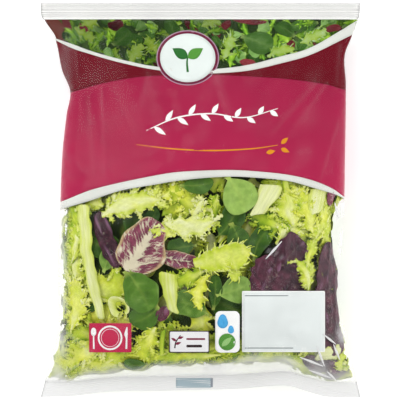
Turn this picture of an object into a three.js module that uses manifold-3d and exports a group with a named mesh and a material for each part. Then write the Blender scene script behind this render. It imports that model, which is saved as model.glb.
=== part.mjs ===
// A sealed pillow bag of salad leaves, lying on its back on a flat surface.
// One web of film makes the whole bag: it is wrapped into a tube, closed along the back by a fin
// that is folded flat, and crimped shut across the top and the bottom. The bag is full, so its
// solid is the film's outer surface with everything inside it.
// Millimetres. X runs across the bag, Y from the bottom seal to the top seal and Z up, out of the
// printed front. The origin is under the middle of the bag, on the surface that it lies on.
import * as THREE from "three";
import { mergeVertices } from "three/addons/utils/BufferGeometryUtils.js";
import Module from "manifold-3d";

// Driving sizes
const LENGTH = 307; // over both seals
const SEAL_DEPTH = 11.5; // of each crimped seal, along Y
const SEAL_SHEET = 1.1; // thickness of a seal's two layers of film with their ribs
const SEAL_HEIGHT = 15; // of the seals above the surface that the bag lies on
const THICKNESS = 70; // of the full bag at its fullest place
const SIDE_HEIGHT = 29; // of the bag's widest line above the surface, at its fullest place
const FULLEST = 0.43; // place of the fullest section, as a share of the way up from the bottom seal
const FIN_WIDTH = 14; // of the back seam's fin
const FIN_SHEET = 0.8; // thickness of the fin, folded flat on the back
const FIN_X = 9; // middle of the fin, which is folded to one side of the seam

// Shape of the crimps: ribs along the seals, and how far they stand out
const RIBS = 5;
const RIB_RISE = 0.35;

// Outline of the bag as seen from above: pairs of Y and X
const TOP = LENGTH / 2;
const BOTTOM = -LENGTH / 2;
const LEFT_SIDE = [
  [BOTTOM, -124.5],
  [-112, -113],
  [-97, -109.6],
  [-50, -109.4],
  [30, -107.4],
  [66, -104],
  [84, -101.2],
  [100, -107.5],
  [126, -113.5],
  [TOP - SEAL_DEPTH, -123.4],
  [TOP, -124.5],
];
const RIGHT_SIDE = [
  [BOTTOM, 124.5],
  [-112, 114.6],
  [-88, 108.8],
  [-60, 107],
  [-14, 110.8],
  [30, 112],
  [90, 113],
  [112, 112.2],
  [127, 117.8],
  [TOP - SEAL_DEPTH, 123.2],
  [TOP, 124.5],
];
// How far the bottom edge is drawn up where the film bows out of its plane: pairs of X and Y
const BOTTOM_RISE = [
  [-125, 0],
  [-98, 1.2],
  [-70, 4.6],
  [-20, 5.6],
  [30, 7.2],
  [66, 9.6],
  [84, 4.4],
  [98, 0.6],
  [125, 0],
];
const RISE_REACH = 70; // how far up the bag the film still follows the bottom edge
const RISE_OUT = 0.8; // how far the film bows up for each millimetre that it is drawn up

// Section across the bag: how square its sides are, and how it lies on the surface
const SIDE_POWER = 0.86;
const DOME_POWER = 0.94;
const BACK_SAG = 40; // depth that the back would sag to below the widest line if nothing bore it
const LIFT_OFF = 5; // depth over which the back curves away from the surface

// Folds pressed into the front: ends in X and Y, depth (negative stands proud) and half width
const FOLDS = [
  { from: [-121, 138], to: [-101, 86], depth: 5, reach: 8 },
  { from: [-99, 136], to: [-92, 70], depth: -2.5, reach: 8 },
  { from: [-92, 96], to: [-58, 0], depth: 2.2, reach: 9 },
  { from: [-66, 132], to: [-48, 52], depth: -1.8, reach: 11 },
  { from: [-18, 136], to: [-4, 84], depth: 1.8, reach: 10 },
  { from: [44, 134], to: [30, 76], depth: -1.8, reach: 11 },
  { from: [104, 118], to: [62, 52], depth: 2.4, reach: 9 },
  { from: [104, 60], to: [84, -20], depth: -1.6, reach: 10 },
  { from: [108, -36], to: [88, -92], depth: 2.2, reach: 9 },
  { from: [112, -138], to: [56, -104], depth: 3.2, reach: 8 },
  { from: [118, -132], to: [92, -84], depth: -2.4, reach: 8 },
  { from: [-112, -132], to: [-74, -92], depth: 2.6, reach: 9 },
  { from: [-30, -136], to: [-18, -100], depth: 2, reach: 9 },
  { from: [22, -136], to: [24, -98], depth: -1.8, reach: 9 },
];

// The leaves that press on the film below the printed top, as shallow swellings
const LEAF_SWELLINGS = 46;
const SWELLING_RISE = 2.4;
const SWELLING_REACH = [11, 20];
const LEAVES_TOP = 4; // Y up to which leaves show
const SEED = 20;

// Fineness of the solid
const SIDE_STEPS = 42; // steps across the front, and as many across the back
const BODY_STEPS = 40; // steps along the bag between the seals
const FIN_STEPS = 44; // steps along the fin

const BODY_BOTTOM = BOTTOM + SEAL_DEPTH;
const BODY_TOP = TOP - SEAL_DEPTH;

// A smooth curve through pairs of numbers: cubic pieces that share their slopes at the pairs
function smoothCurve(pairs, at) {
  const last = pairs.length - 1;
  const slope = (i) => {
    const a = pairs[Math.max(i - 1, 0)];
    const b = pairs[Math.min(i + 1, last)];
    return (b[1] - a[1]) / (b[0] - a[0]);
  };
  const x = THREE.MathUtils.clamp(at, pairs[0][0], pairs[last][0]);
  let i = 0;
  while (i < last - 1 && x > pairs[i + 1][0]) i++;
  const span = pairs[i + 1][0] - pairs[i][0];
  const t = (x - pairs[i][0]) / span;
  const t2 = t * t;
  const t3 = t2 * t;
  return (
    (2 * t3 - 3 * t2 + 1) * pairs[i][1] +
    (t3 - 2 * t2 + t) * span * slope(i) +
    (3 * t2 - 2 * t3) * pairs[i + 1][1] +
    (t3 - t2) * span * slope(i + 1)
  );
}

// How full the bag is at y: 0 at the seals and 1 at the fullest section
function fullness(y) {
  const share = THREE.MathUtils.clamp(
    (y - BODY_BOTTOM) / (BODY_TOP - BODY_BOTTOM),
    0,
    1,
  );
  const skew = Math.log(0.5) / Math.log(FULLEST);
  return Math.pow(Math.sin(Math.PI * Math.pow(share, skew)), 0.68);
}

// How far a fold pushes the front down at x, y
function foldDepth({ from, to, depth, reach }, x, y) {
  const [dx, dy] = [to[0] - from[0], to[1] - from[1]];
  const length = Math.hypot(dx, dy);
  const along = ((x - from[0]) * dx + (y - from[1]) * dy) / length;
  const across = ((x - from[0]) * dy - (y - from[1]) * dx) / length;
  const inside = THREE.MathUtils.clamp(along / length, 0, 1);
  const beyond = along - inside * length;
  const off = Math.hypot(across, beyond) / reach;
  const taper = Math.sqrt(Math.max(1 - inside, 0)) * 0.8 + 0.2;
  return depth * taper * Math.exp(-1.6 * off * off);
}

// Evenly mixed numbers from 0 to 1 that are the same on every run
function seededRandom(seed) {
  let state = seed;
  return () => {
    state = (state * 16807) % 2147483647;
    return state / 2147483647;
  };
}

function leafSwellings() {
  const random = seededRandom(SEED);
  const pick = (low, high) => low + (high - low) * random();
  return Array.from({ length: LEAF_SWELLINGS }, () => ({
    x: pick(-98, 98),
    y: pick(BODY_BOTTOM + 14, LEAVES_TOP),
    rise: SWELLING_RISE * pick(-0.6, 1),
    reach: pick(...SWELLING_REACH),
  }));
}
const SWELLINGS = leafSwellings();

// Relief of the front at x, y: folds down and leaves up
function frontRelief(x, y) {
  let relief = 0;
  for (const fold of FOLDS) relief -= foldDepth(fold, x, y);
  for (const s of SWELLINGS) {
    const off = Math.hypot(x - s.x, y - s.y) / s.reach;
    relief += s.rise * Math.exp(-1.5 * off * off);
  }
  return relief;
}

// Height of the ribs in the crimped seals at y
function ribRelief(y) {
  const depth = Math.min(y - BOTTOM, TOP - y);
  if (depth > SEAL_DEPTH) return 0;
  return RIB_RISE * Math.sin((2 * Math.PI * RIBS * depth) / SEAL_DEPTH);
}

// The height of a back that would be at z if nothing bore it
function borneHeight(z) {
  const over = z - FIN_SHEET;
  if (over >= LIFT_OFF) return z;
  if (over <= -LIFT_OFF) return FIN_SHEET;
  return FIN_SHEET + (over + LIFT_OFF) ** 2 / (4 * LIFT_OFF);
}

// The point of the film at y and at turn, which goes round from the right side (0) over the
// front (a quarter) and the left side (a half) to the back (three quarters)
function filmPoint(y, turn) {
  const angle = 2 * Math.PI * turn;
  const [c, s] = [Math.cos(angle), Math.sin(angle)];
  const left = smoothCurve(LEFT_SIDE, y);
  const right = smoothCurve(RIGHT_SIDE, y);
  const across = Math.sign(c) * Math.pow(Math.abs(c), SIDE_POWER);
  const x = (left + right) / 2 + (across * (right - left)) / 2;

  const full = fullness(y);
  const side = SEAL_HEIGHT + (SIDE_HEIGHT - SEAL_HEIGHT) * full;
  const half = SEAL_SHEET / 2;
  const dome = half + (s > 0 ? THICKNESS - SIDE_HEIGHT : BACK_SAG) * full;
  let z = side + Math.sign(s) * dome * Math.pow(Math.abs(s), DOME_POWER) + ribRelief(y);

  const drawn = smoothCurve(BOTTOM_RISE, x);
  const follow = THREE.MathUtils.smoothstep(BOTTOM + RISE_REACH - y, 0, RISE_REACH);
  z += RISE_OUT * drawn * follow;
  if (s > 0) z += frontRelief(x, y) * Math.sqrt(full) * Math.min(1, 1.6 * s);
  return new THREE.Vector3(x, y + drawn * follow, borneHeight(z));
}

// The rows of the solid along Y: on each rib's crest and foot in the seals, and wider in the body
function rowPlaces() {
  const inSeal = Array.from(
    { length: 2 * RIBS },
    (_, i) => (SEAL_DEPTH * (i + 0.5)) / (2 * RIBS),
  );
  const inBody = Array.from({ length: BODY_STEPS + 1 }, (_, i) => {
    const share = i / BODY_STEPS;
    const eased = share - Math.sin(2 * Math.PI * share) / (7 * Math.PI);
    return BODY_BOTTOM + (BODY_TOP - BODY_BOTTOM) * eased;
  });
  return [
    BOTTOM,
    ...inSeal.map((depth) => BOTTOM + depth),
    ...inBody,
    ...inSeal.map((depth) => TOP - depth).reverse(),
    TOP,
  ];
}

// A closed skin through rings of points, all with the same number of points
function skinGeometry(rings) {
  const around = rings[0].length;
  const faces = [];
  const addFace = (a, b, c) => {
    if (a !== b && b !== c && c !== a) faces.push(a, b, c);
  };
  for (let r = 0; r < rings.length - 1; r++) {
    for (let i = 0; i < around; i++) {
      const [a, b] = [r * around + i, r * around + ((i + 1) % around)];
      addFace(a, a + around, b);
      addFace(b, a + around, b + around);
    }
  }
  // each end is closed by strips from front to back, since it is flat and wide
  const lastRing = (rings.length - 1) * around;
  for (let i = 0; i < around / 2; i++) {
    const [back, nextBack] = [(around - i) % around, around - i - 1];
    addFace(back, i, i + 1);
    addFace(back, i + 1, nextBack);
    addFace(lastRing + back, lastRing + i + 1, lastRing + i);
    addFace(lastRing + back, lastRing + nextBack, lastRing + i + 1);
  }
  const geometry = new THREE.BufferGeometry().setFromPoints(rings.flat());
  geometry.setIndex(faces);
  return geometry;
}

function pillowGeometry() {
  const around = 2 * SIDE_STEPS;
  const rings = rowPlaces().map((y) =>
    Array.from({ length: around }, (_, i) => filmPoint(y, i / around)),
  );
  return skinGeometry(rings);
}

// The point of the back at x, in the row that starts at y
function backPoint(x, y) {
  const left = smoothCurve(LEFT_SIDE, y);
  const right = smoothCurve(RIGHT_SIDE, y);
  const across = (2 * x - left - right) / (right - left);
  const c = Math.sign(across) * Math.pow(Math.abs(across), 1 / SIDE_POWER);
  return filmPoint(y, 1 - Math.acos(c) / (2 * Math.PI));
}

// The back seam's fin: a strip folded flat on the back from seal to seal
function finGeometry() {
  const bite = 0.4; // how far the strip reaches into the back, so that the two join
  const [from, to] = [BODY_BOTTOM - SEAL_DEPTH / 2, BODY_TOP + SEAL_DEPTH / 2];
  const rings = Array.from({ length: FIN_STEPS + 1 }, (_, i) => {
    const y = from + ((to - from) * i) / FIN_STEPS;
    const corner = (x, rise) => {
      const back = backPoint(x, y);
      return new THREE.Vector3(x, back.y, back.z + rise);
    };
    const [low, high] = [FIN_X - FIN_WIDTH / 2, FIN_X + FIN_WIDTH / 2];
    return [corner(high, bite), corner(low, bite), corner(low, -FIN_SHEET), corner(high, -FIN_SHEET)];
  });
  return skinGeometry(rings);
}

const wasm = await Module();
wasm.setup();

function toManifold(geometry) {
  const merged = mergeVertices(geometry, 1e-4);
  return new wasm.Manifold(
    new wasm.Mesh({
      numProp: 3,
      vertProperties: new Float32Array(merged.attributes.position.array),
      triVerts: new Uint32Array(merged.index.array),
    }),
  );
}

function fromManifold(solid) {
  const mesh = solid.getMesh();
  const geometry = new THREE.BufferGeometry();
  geometry.setAttribute("position", new THREE.BufferAttribute(mesh.vertProperties, 3));
  geometry.setIndex(new THREE.BufferAttribute(mesh.triVerts, 1));
  geometry.computeVertexNormals();
  return geometry;
}

const bag = new THREE.Mesh(
  fromManifold(toManifold(pillowGeometry()).add(toManifold(finGeometry()))),
  new THREE.MeshStandardMaterial({ color: 0x9fb04a, roughness: 0.3, metalness: 0 }),
);
bag.name = "salad_bag";

const saladBag = new THREE.Group();
saladBag.add(bag);
export default saladBag;
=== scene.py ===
"""A sealed pillow bag of salad leaves, lying on its back and seen from straight above.

The bag is one tube of clear film, crimped shut at both ends, with a printed header. Through the film
below the header four kinds of leaves show: curly yellow-green ones with pale ribs, smooth round green
ones, and broad red ones, variegated or plain purple. Everything is placed on the film's own surface: a
place is a share of the way round the bag, a Y along it, and a depth under the film. Sizes are in
millimetres until a mesh is made. X runs across the bag, Y from the bottom seal to the top seal, Z up.
"""
import math
from dataclasses import dataclass

import bpy
import numpy as np
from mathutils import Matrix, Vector


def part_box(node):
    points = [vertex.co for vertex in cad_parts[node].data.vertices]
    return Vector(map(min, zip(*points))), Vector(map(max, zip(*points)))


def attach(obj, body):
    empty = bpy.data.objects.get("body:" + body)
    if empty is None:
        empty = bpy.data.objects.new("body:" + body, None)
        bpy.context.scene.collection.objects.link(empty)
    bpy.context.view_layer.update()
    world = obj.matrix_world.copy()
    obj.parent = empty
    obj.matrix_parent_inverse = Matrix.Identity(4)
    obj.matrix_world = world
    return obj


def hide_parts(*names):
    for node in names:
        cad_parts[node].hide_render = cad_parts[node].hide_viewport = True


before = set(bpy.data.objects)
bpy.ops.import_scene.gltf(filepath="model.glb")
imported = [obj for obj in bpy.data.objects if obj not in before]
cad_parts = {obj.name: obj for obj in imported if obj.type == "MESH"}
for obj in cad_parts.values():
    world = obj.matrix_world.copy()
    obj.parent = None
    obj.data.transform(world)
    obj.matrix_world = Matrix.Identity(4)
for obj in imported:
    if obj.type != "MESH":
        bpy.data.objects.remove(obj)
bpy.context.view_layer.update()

MM = 0.001  # metres in a millimetre
NODE = "salad_bag"

# The bag, as its solid was built
BOTTOM, TOP = (corner[1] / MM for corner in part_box(NODE))
SEAL_DEPTH = 11.5
SEAL_SHEET = 1.1  # thickness of the two films in a seal
SEAL_HEIGHT = 15.0  # how high the seals lie
THICKNESS = 70.0
SIDE_HEIGHT = 29.0  # how high the sides lie where the bag is fullest
FULLEST = 0.43  # share of the way up the body at which it is fullest
FIN_SHEET = 0.8
FIN_WIDTH = 14.0
FIN_X = 9.0
BACK_SAG = 40.0  # how far the back would hang below the sides if nothing bore it
LIFT_OFF = 5.0  # half of the height over which the back leaves what it rests on
SIDE_POWER = 0.86  # these two shape the bag's section
DOME_POWER = 0.94
RISE_REACH = 70.0  # how far up the body the drawn-up bottom edge has an effect
RISE_OUT = 0.8  # how far the drawn-up edge also rises in Z, as a share
BODY_BOTTOM = BOTTOM + SEAL_DEPTH
BODY_TOP = TOP - SEAL_DEPTH

# Outline from above: pairs of Y and X
LEFT_SIDE = [
    (BOTTOM, -124.5), (-112, -113), (-97, -109.6), (-50, -109.4), (30, -107.4), (66, -104),
    (84, -101.2), (100, -107.5), (126, -113.5), (BODY_TOP, -123.4), (TOP, -124.5),
]
RIGHT_SIDE = [
    (BOTTOM, 124.5), (-112, 114.6), (-88, 108.8), (-60, 107), (-14, 110.8), (30, 112),
    (90, 113), (112, 112.2), (127, 117.8), (BODY_TOP, 123.2), (TOP, 124.5),
]
# How far the bottom edge is drawn up: pairs of X and Y
BOTTOM_RISE = [
    (-125, 0), (-98, 1.2), (-70, 4.6), (-20, 5.6), (30, 7.2), (66, 9.6), (84, 4.4), (98, 0.6), (125, 0),
]
# Folds pressed into the front: ends, depth (negative stands proud) and half width
FOLDS = [
    ((-121, 138), (-101, 86), 5, 8),
    ((-99, 136), (-92, 70), -2.5, 8),
    ((-92, 96), (-58, 0), 2.2, 9),
    ((-66, 132), (-48, 52), -1.8, 11),
    ((-18, 136), (-4, 84), 1.8, 10),
    ((44, 134), (30, 76), -1.8, 11),
    ((104, 118), (62, 52), 2.4, 9),
    ((104, 60), (84, -20), -1.6, 10),
    ((108, -36), (88, -92), 2.2, 9),
    ((112, -138), (56, -104), 3.2, 8),
    ((118, -132), (92, -84), -2.4, 8),
    ((-112, -132), (-74, -92), 2.6, 9),
    ((-30, -136), (-18, -100), 2, 9),
    ((22, -136), (24, -98), -1.8, 9),
]
# Fine folds that the film takes beside the larger ones, in the same form
CREASES = [
    ((112, -143), (64, -121), -1.6, 1.6),
    ((104, -101), (113, -112), -1.4, 1.4),
    ((90, -118), (98, -134), -1.5, 1.8),
    ((77, -122), (97, -128), -1.4, 1.3),
    ((48, -36), (66, -46), -0.8, 1.2),
    ((97, -103), (105, -109), -1.2, 1.1),
    ((-76, 84), (-72, 17), -2.6, 3.4),
    ((-87, 78), (-81, 19), 2.6, 3.8),
    ((-107, 39), (-84, 17), -2.6, 3.2),
    ((-108, 26), (-94, 14), 1.6, 2.6),
    ((-97, 116), (-93, 80), -3.0, 3.0),
    ((-108, 112), (-100, 84), 1.6, 2.6),
    ((-66, 86), (-50, 50), 1.8, 4.0),
    ((97, 90), (66, 46), -2.6, 3.0),
    ((88, 90), (52, 48), 2.0, 3.6),
    ((108, 120), (104, 84), -1.8, 2.8),
    ((106, 60), (90, 12), -1.2, 2.6),
    ((12, 96), (24, 62), -1.8, 4.0),
    ((-40, 96), (-46, 70), 0.9, 3.6),
    ((-108, -20), (-100, -70), -1.2, 2.0),
    ((-110, -96), (-80, -120), -1.4, 2.0),
    ((-118, -140), (-84, -122), -1.4, 2.4),
    ((-64, -140), (-40, -126), -1.0, 2.4),
    ((104, -10), (100, -48), 1.2, 2.2),
]
RIBS = 8  # crimped ribs in each seal
RIB_RISE = 0.3
PLEATS = 44  # fine folds that fan out from the two seals, front and back together
PLEAT_SEED = 7

# The leaves that press on the film, as the solid has them
LEAF_SWELLINGS = 46
SWELLING_RISE = 2.4
SWELLING_REACH = (11, 20)
SWELLING_SIDE = 98  # how far they reach to the left and the right
SWELLING_MARGIN = 14  # how far above the seal they start
LEAVES_TOP = 4
SWELLING_SEED = 20
DRAW_FACTOR = 16807  # the solid's rule for draws: times this, and what is left over past the cycle
DRAW_CYCLE = 2147483647

# The camera: how high it stands, and how much of the bag one of the picture's 400 pixels shows
PICTURE = 400
PIXEL = 0.776
CAMERA_HEIGHT = 1600.0
SHARP_HEIGHT = 20.0  # height at which a pixel shows PIXEL
CAMERA_X = -0.4
SENSOR = 36.0

# The grid that the film is cut into
SEAL_ROWS = 32
BODY_ROWS = 132
HALF_COLUMNS = 112


def smooth_curve(pairs, at):
    """A curve through pairs of numbers, of cubic pieces that share their slopes at the pairs."""
    places, values = np.array(pairs, dtype=float).T
    slopes = np.empty_like(values)
    slopes[1:-1] = (values[2:] - values[:-2]) / (places[2:] - places[:-2])
    slopes[0] = (values[1] - values[0]) / (places[1] - places[0])
    slopes[-1] = (values[-1] - values[-2]) / (places[-1] - places[-2])
    at = np.clip(at, places[0], places[-1])
    i = np.clip(np.searchsorted(places, at, side="right") - 1, 0, len(places) - 2)
    span = places[i + 1] - places[i]
    t = (at - places[i]) / span
    t2 = t * t
    t3 = t2 * t
    return (
        (2 * t3 - 3 * t2 + 1) * values[i]
        + (t3 - 2 * t2 + t) * span * slopes[i]
        + (3 * t2 - 2 * t3) * values[i + 1]
        + (t3 - t2) * span * slopes[i + 1]
    )


def smooth_step(t):
    """From 0 to 1 as t goes from 0 to 1, with level ends."""
    t = np.clip(t, 0, 1)
    return t * t * (3 - 2 * t)


def mix(a, b, share):
    """From a to b, both colours or points, by a share for each point."""
    return a + (b - a) * np.asarray(share)[..., None]


def fullness(y):
    """0 at the seals and 1 at the fullest section."""
    share = np.clip((y - BODY_BOTTOM) / (BODY_TOP - BODY_BOTTOM), 0, 1)
    skew = math.log(0.5) / math.log(FULLEST)
    return np.maximum(np.sin(np.pi * share**skew), 0) ** 0.68


def fold_depth(fold, x, y, sharpness=2.0):
    """How far a fold pushes the film in at x, y."""
    (x0, y0), (x1, y1), depth, reach = fold
    dx, dy = x1 - x0, y1 - y0
    length = math.hypot(dx, dy)
    along = ((x - x0) * dx + (y - y0) * dy) / length
    across = ((x - x0) * dy - (y - y0) * dx) / length
    inside = np.clip(along / length, 0, 1)
    off = np.hypot(across, along - inside * length) / reach
    taper = np.sqrt(np.maximum(1 - inside, 0)) * 0.8 + 0.2
    return depth * taper * np.exp(-1.6 * off**sharpness)


def leaf_swellings():
    """The same swellings as the solid's, drawn by the same rule."""
    state = SWELLING_SEED
    swellings = []
    for _ in range(LEAF_SWELLINGS):
        draws = []
        for _ in range(4):
            state = (state * DRAW_FACTOR) % DRAW_CYCLE
            draws.append(state / DRAW_CYCLE)
        x = -SWELLING_SIDE + 2 * SWELLING_SIDE * draws[0]
        y = BODY_BOTTOM + SWELLING_MARGIN + (LEAVES_TOP - BODY_BOTTOM - SWELLING_MARGIN) * draws[1]
        rise = SWELLING_RISE * (-0.6 + 1.6 * draws[2])
        reach = SWELLING_REACH[0] + (SWELLING_REACH[1] - SWELLING_REACH[0]) * draws[3]
        swellings.append((x, y, rise, reach))
    return swellings


def seal_pleats(rng):
    """Fine folds that start at a seal and fan in towards the middle of the bag."""
    pleats = []
    for number in range(PLEATS):
        top = number % 2 == 0
        x = rng.uniform(-116, 116)
        reach = rng.uniform(22, 58)
        start = (x, BODY_TOP + 1 if top else BODY_BOTTOM - 1)
        end = (x * rng.uniform(0.78, 0.94), start[1] - reach if top else start[1] + reach)
        pleats.append((start, end, rng.choice([-1, 1]) * rng.uniform(0.5, 1.5), rng.uniform(1.8, 4.2)))
    return pleats


SWELLINGS = leaf_swellings()
PLEAT_FOLDS = seal_pleats(np.random.default_rng(PLEAT_SEED))


def ripples(x, y, seed, waves, shortest, longest):
    """Smooth unevenness from -1 to 1: a few waves in mixed directions."""
    rng = np.random.default_rng(seed)
    total = np.zeros(np.broadcast(x, y).shape)
    for _ in range(waves):
        angle = rng.uniform(0, math.pi)
        pace = 2 * math.pi / rng.uniform(shortest, longest)
        total = total + np.sin(pace * (x * math.cos(angle) + y * math.sin(angle)) + rng.uniform(0, 7))
    return total / math.sqrt(waves)


def front_relief(x, y):
    """How far the folds, the creases and the leaves move the front in or out."""
    relief = np.zeros(np.broadcast(x, y).shape)
    for fold in FOLDS:
        relief -= fold_depth(fold, x, y)
    for fold in CREASES:
        relief -= fold_depth(fold, x, y, sharpness=1.2)
    for sx, sy, rise, reach in SWELLINGS:
        off = np.hypot(x - sx, y - sy) / reach
        relief += rise * np.exp(-1.5 * off * off)
    return relief


def rib_relief(y):
    """The crimped ribs of the seals, softer in the bottom one."""
    depth = np.minimum(y - BOTTOM, TOP - y)
    rise = np.where(y > 0, RIB_RISE, 0.4 * RIB_RISE)
    return np.where(depth < SEAL_DEPTH, rise * np.sin(2 * np.pi * RIBS * depth / SEAL_DEPTH), 0)


def borne_height(z):
    """The height of a back that would be at z if nothing bore it."""
    over = np.clip(z - FIN_SHEET, -LIFT_OFF, LIFT_OFF)
    resting = FIN_SHEET + (over + LIFT_OFF) ** 2 / (4 * LIFT_OFF)
    return np.where(z - FIN_SHEET >= LIFT_OFF, z, resting)


def film_points(y, turn):
    """The film at y and at turn: 0 at the right side, a quarter in front, a half at the left side."""
    angle = 2 * np.pi * turn
    c, s = np.cos(angle), np.sin(angle)
    s = np.where(np.abs(s) < 1e-9, 0, s)
    left, right = smooth_curve(LEFT_SIDE, y), smooth_curve(RIGHT_SIDE, y)
    across = np.sign(c) * np.abs(c) ** SIDE_POWER
    x = (left + right) / 2 + across * (right - left) / 2
    full = fullness(y)
    side = SEAL_HEIGHT + (SIDE_HEIGHT - SEAL_HEIGHT) * full
    bulge = np.where(s > 0, THICKNESS - SIDE_HEIGHT, BACK_SAG) * full
    z = side + np.sign(s) * (SEAL_SHEET / 2 + bulge) * np.abs(s) ** DOME_POWER + rib_relief(y)
    drawn = smooth_curve(BOTTOM_RISE, x)
    follow = smooth_step((BOTTOM + RISE_REACH - y) / RISE_REACH)
    z = z + RISE_OUT * drawn * follow
    pressed = np.sqrt(full) * np.minimum(1, 1.6 * np.abs(s))
    pleated = sum(fold_depth(fold, x, y, sharpness=1.3) for fold in PLEAT_FOLDS)
    wavy = 0.35 * ripples(x, y, 3, 9, 9, 34)
    z = z + np.where(s > 0, front_relief(x, y) + wavy - pleated, 0.6 * pleated) * pressed
    return np.stack([x, y + drawn * follow, borne_height(z)], axis=-1)


def even_turns(y, first, steps):
    """Turns that cut half of the row at y, from turn first, into equal lengths of film."""
    fine = first + np.linspace(0, 0.5, 6 * steps + 1)
    points = film_points(np.full_like(fine, y), fine)
    run = np.append(0, np.cumsum(np.linalg.norm(np.diff(points, axis=0), axis=1)))
    return np.interp(np.linspace(0, run[-1], steps + 1)[:-1], run, fine), run[-1]


def film_rows():
    """The Y of each row of the film: even in the seals, and closer together near them."""
    seal = np.linspace(0, SEAL_DEPTH, SEAL_ROWS + 1)
    share = np.linspace(0, 1, BODY_ROWS + 1)[1:-1]
    body = BODY_BOTTOM + (BODY_TOP - BODY_BOTTOM) * (share - np.sin(2 * np.pi * share) / (7 * np.pi))
    return np.concatenate([BOTTOM + seal, body, TOP - seal[::-1]])


def film_grid():
    """The film as a grid of points, rows along the bag and columns round it, and each row's girth."""
    grid, girths = [], []
    for y in ROW_Y:
        front, front_run = even_turns(y, 0, HALF_COLUMNS)
        back, back_run = even_turns(y, 0.5, HALF_COLUMNS)
        turns = np.concatenate([front, back])
        grid.append(film_points(np.full_like(turns, y), turns))
        girths.append(front_run + back_run)
    return np.array(grid), np.array(girths)


def inward_grid(skin):
    """For each point of the film, a vector to the middle of the bag's thickness there."""
    middle = (skin[:, :1, 0] + skin[:, HALF_COLUMNS : HALF_COLUMNS + 1, 0]) / 2
    full = fullness(ROW_Y)[:, None]
    core = skin.copy()
    core[..., 0] = middle + (skin[..., 0] - middle) * (1 - 0.28 * full)
    side = SEAL_HEIGHT + (SIDE_HEIGHT - SEAL_HEIGHT) * full
    follow = smooth_step((BOTTOM + RISE_REACH - ROW_Y) / RISE_REACH)[:, None]
    drawn = RISE_OUT * smooth_curve(BOTTOM_RISE, skin[..., 0]) * follow
    core[..., 2] = side + 4 * full + drawn + rib_relief(ROW_Y)[:, None]
    return core - skin


ROW_Y = film_rows()
COLUMNS = 2 * HALF_COLUMNS
SKIN, GIRTH = film_grid()
INWARD = inward_grid(SKIN)
DEEPEST = 0.92  # share of the way to the bag's middle that nothing goes beyond


def inside(round_bag, y, depth=0.0):
    """Points at a depth under the film: round_bag from 0 to 1 is the share of the way round."""
    y = np.clip(y, ROW_Y[0], ROW_Y[-1])
    i = np.clip(np.searchsorted(ROW_Y, y, side="right") - 1, 0, len(ROW_Y) - 2)
    up = ((y - ROW_Y[i]) / (ROW_Y[i + 1] - ROW_Y[i]))[..., None]
    column = (round_bag % 1.0) * COLUMNS
    j = np.floor(column).astype(int) % COLUMNS
    over = (column - np.floor(column))[..., None]
    k = (j + 1) % COLUMNS

    def between(grid):
        low = grid[i, j] * (1 - over) + grid[i, k] * over
        high = grid[i + 1, j] * (1 - over) + grid[i + 1, k] * over
        return low * (1 - up) + high * up

    inward = between(INWARD)
    thickness = np.linalg.norm(inward, axis=-1)
    share = np.minimum(depth / np.maximum(thickness, 1e-6), DEEPEST)
    return between(SKIN) + inward * share[..., None]


def girth_at(y):
    """The length of film round the bag."""
    return np.interp(y, ROW_Y, GIRTH)


def seen(points):
    """Where the camera sees points, as X and Y at the height where a pixel shows PIXEL."""
    scale = (CAMERA_HEIGHT - SHARP_HEIGHT) / (CAMERA_HEIGHT - points[..., 2])
    return points[..., 0] * scale, points[..., 1] * scale


def under(x, y, depth=0.0):
    """The places (share of the way round, and Y) where the camera sees x, y on the front."""
    x, y = np.broadcast_arrays(np.asarray(x, float), np.asarray(y, float))
    round_bag = np.clip(0.25 - x / 470, 0.01, 0.49)
    row = y.copy()
    for _ in range(14):
        now_x, now_y = seen(inside(round_bag, row, depth))
        round_bag = np.clip(round_bag + (now_x - x) / girth_at(row), 0.0, 0.5)
        row = np.clip(row + (y - now_y), BOTTOM, TOP)
    return round_bag, row


@dataclass
class Leaf:
    """A flat grid of points (along, across, up) with a thickness, a colour and vein marks at each."""

    points: np.ndarray
    thickness: np.ndarray
    colour: np.ndarray
    veins: np.ndarray


@dataclass
class Place:
    """Where a leaf lies: its middle, the way its tip points (degrees from +X), and its depth."""

    round_bag: float
    y: float
    angle: float
    depth: float
    least: float = 0.9
    most: float = 40.0
    soft: float = 0.5
    top: float = BODY_TOP


LEAVES_END = BODY_BOTTOM + 2.0  # the leaves' lowest reach, in the two bottom corners
LEAVES_RISE = 8.0  # how much higher the leaves end midway between the corners
RIGHT_RISE = 3.5  # how much higher still they end in front, right of the middle
ROUND_SCALE = 480  # about the length of film round the bag


def leaves_end(round_bag):
    """The lowest Y that the leaves reach."""
    wavy = 2.2 * ripples(round_bag * ROUND_SCALE, 0, 51, 6, 16, 60)
    right = RIGHT_RISE * np.exp(-(((round_bag - 0.16) / 0.06) ** 2))
    return LEAVES_END + LEAVES_RISE * np.sin(2 * np.pi * round_bag) ** 2 + right + wavy


# How far the film stands off the leaves along the right side: pairs of Y and distance
RIGHT_SLACK = [
    (BODY_BOTTOM, 0), (-118, 1), (-102, 2), (-80, 0.3), (-54, 0.6), (-40, 6), (-12, 8), (2, 1), (30, 0),
    (TOP, 0),
]
LEFT_SLACK = 0.8
SLACK_REACH = 0.05  # how far from the side the slack is felt, as a share of the way round


def slack(round_bag, y):
    """How far the film stands off the leaves."""
    from_right = (round_bag + 0.5) % 1 - 0.5
    from_left = round_bag % 1 - 0.5
    right = smooth_curve(RIGHT_SLACK, y) * np.exp(-((from_right / (1.1 * SLACK_REACH)) ** 2))
    left = LEFT_SLACK * smooth_step((y + 110) / 20) * smooth_step((30 - y) / 30)
    return np.maximum(right, 0) + left * np.exp(-((from_left / SLACK_REACH) ** 2))


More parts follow.
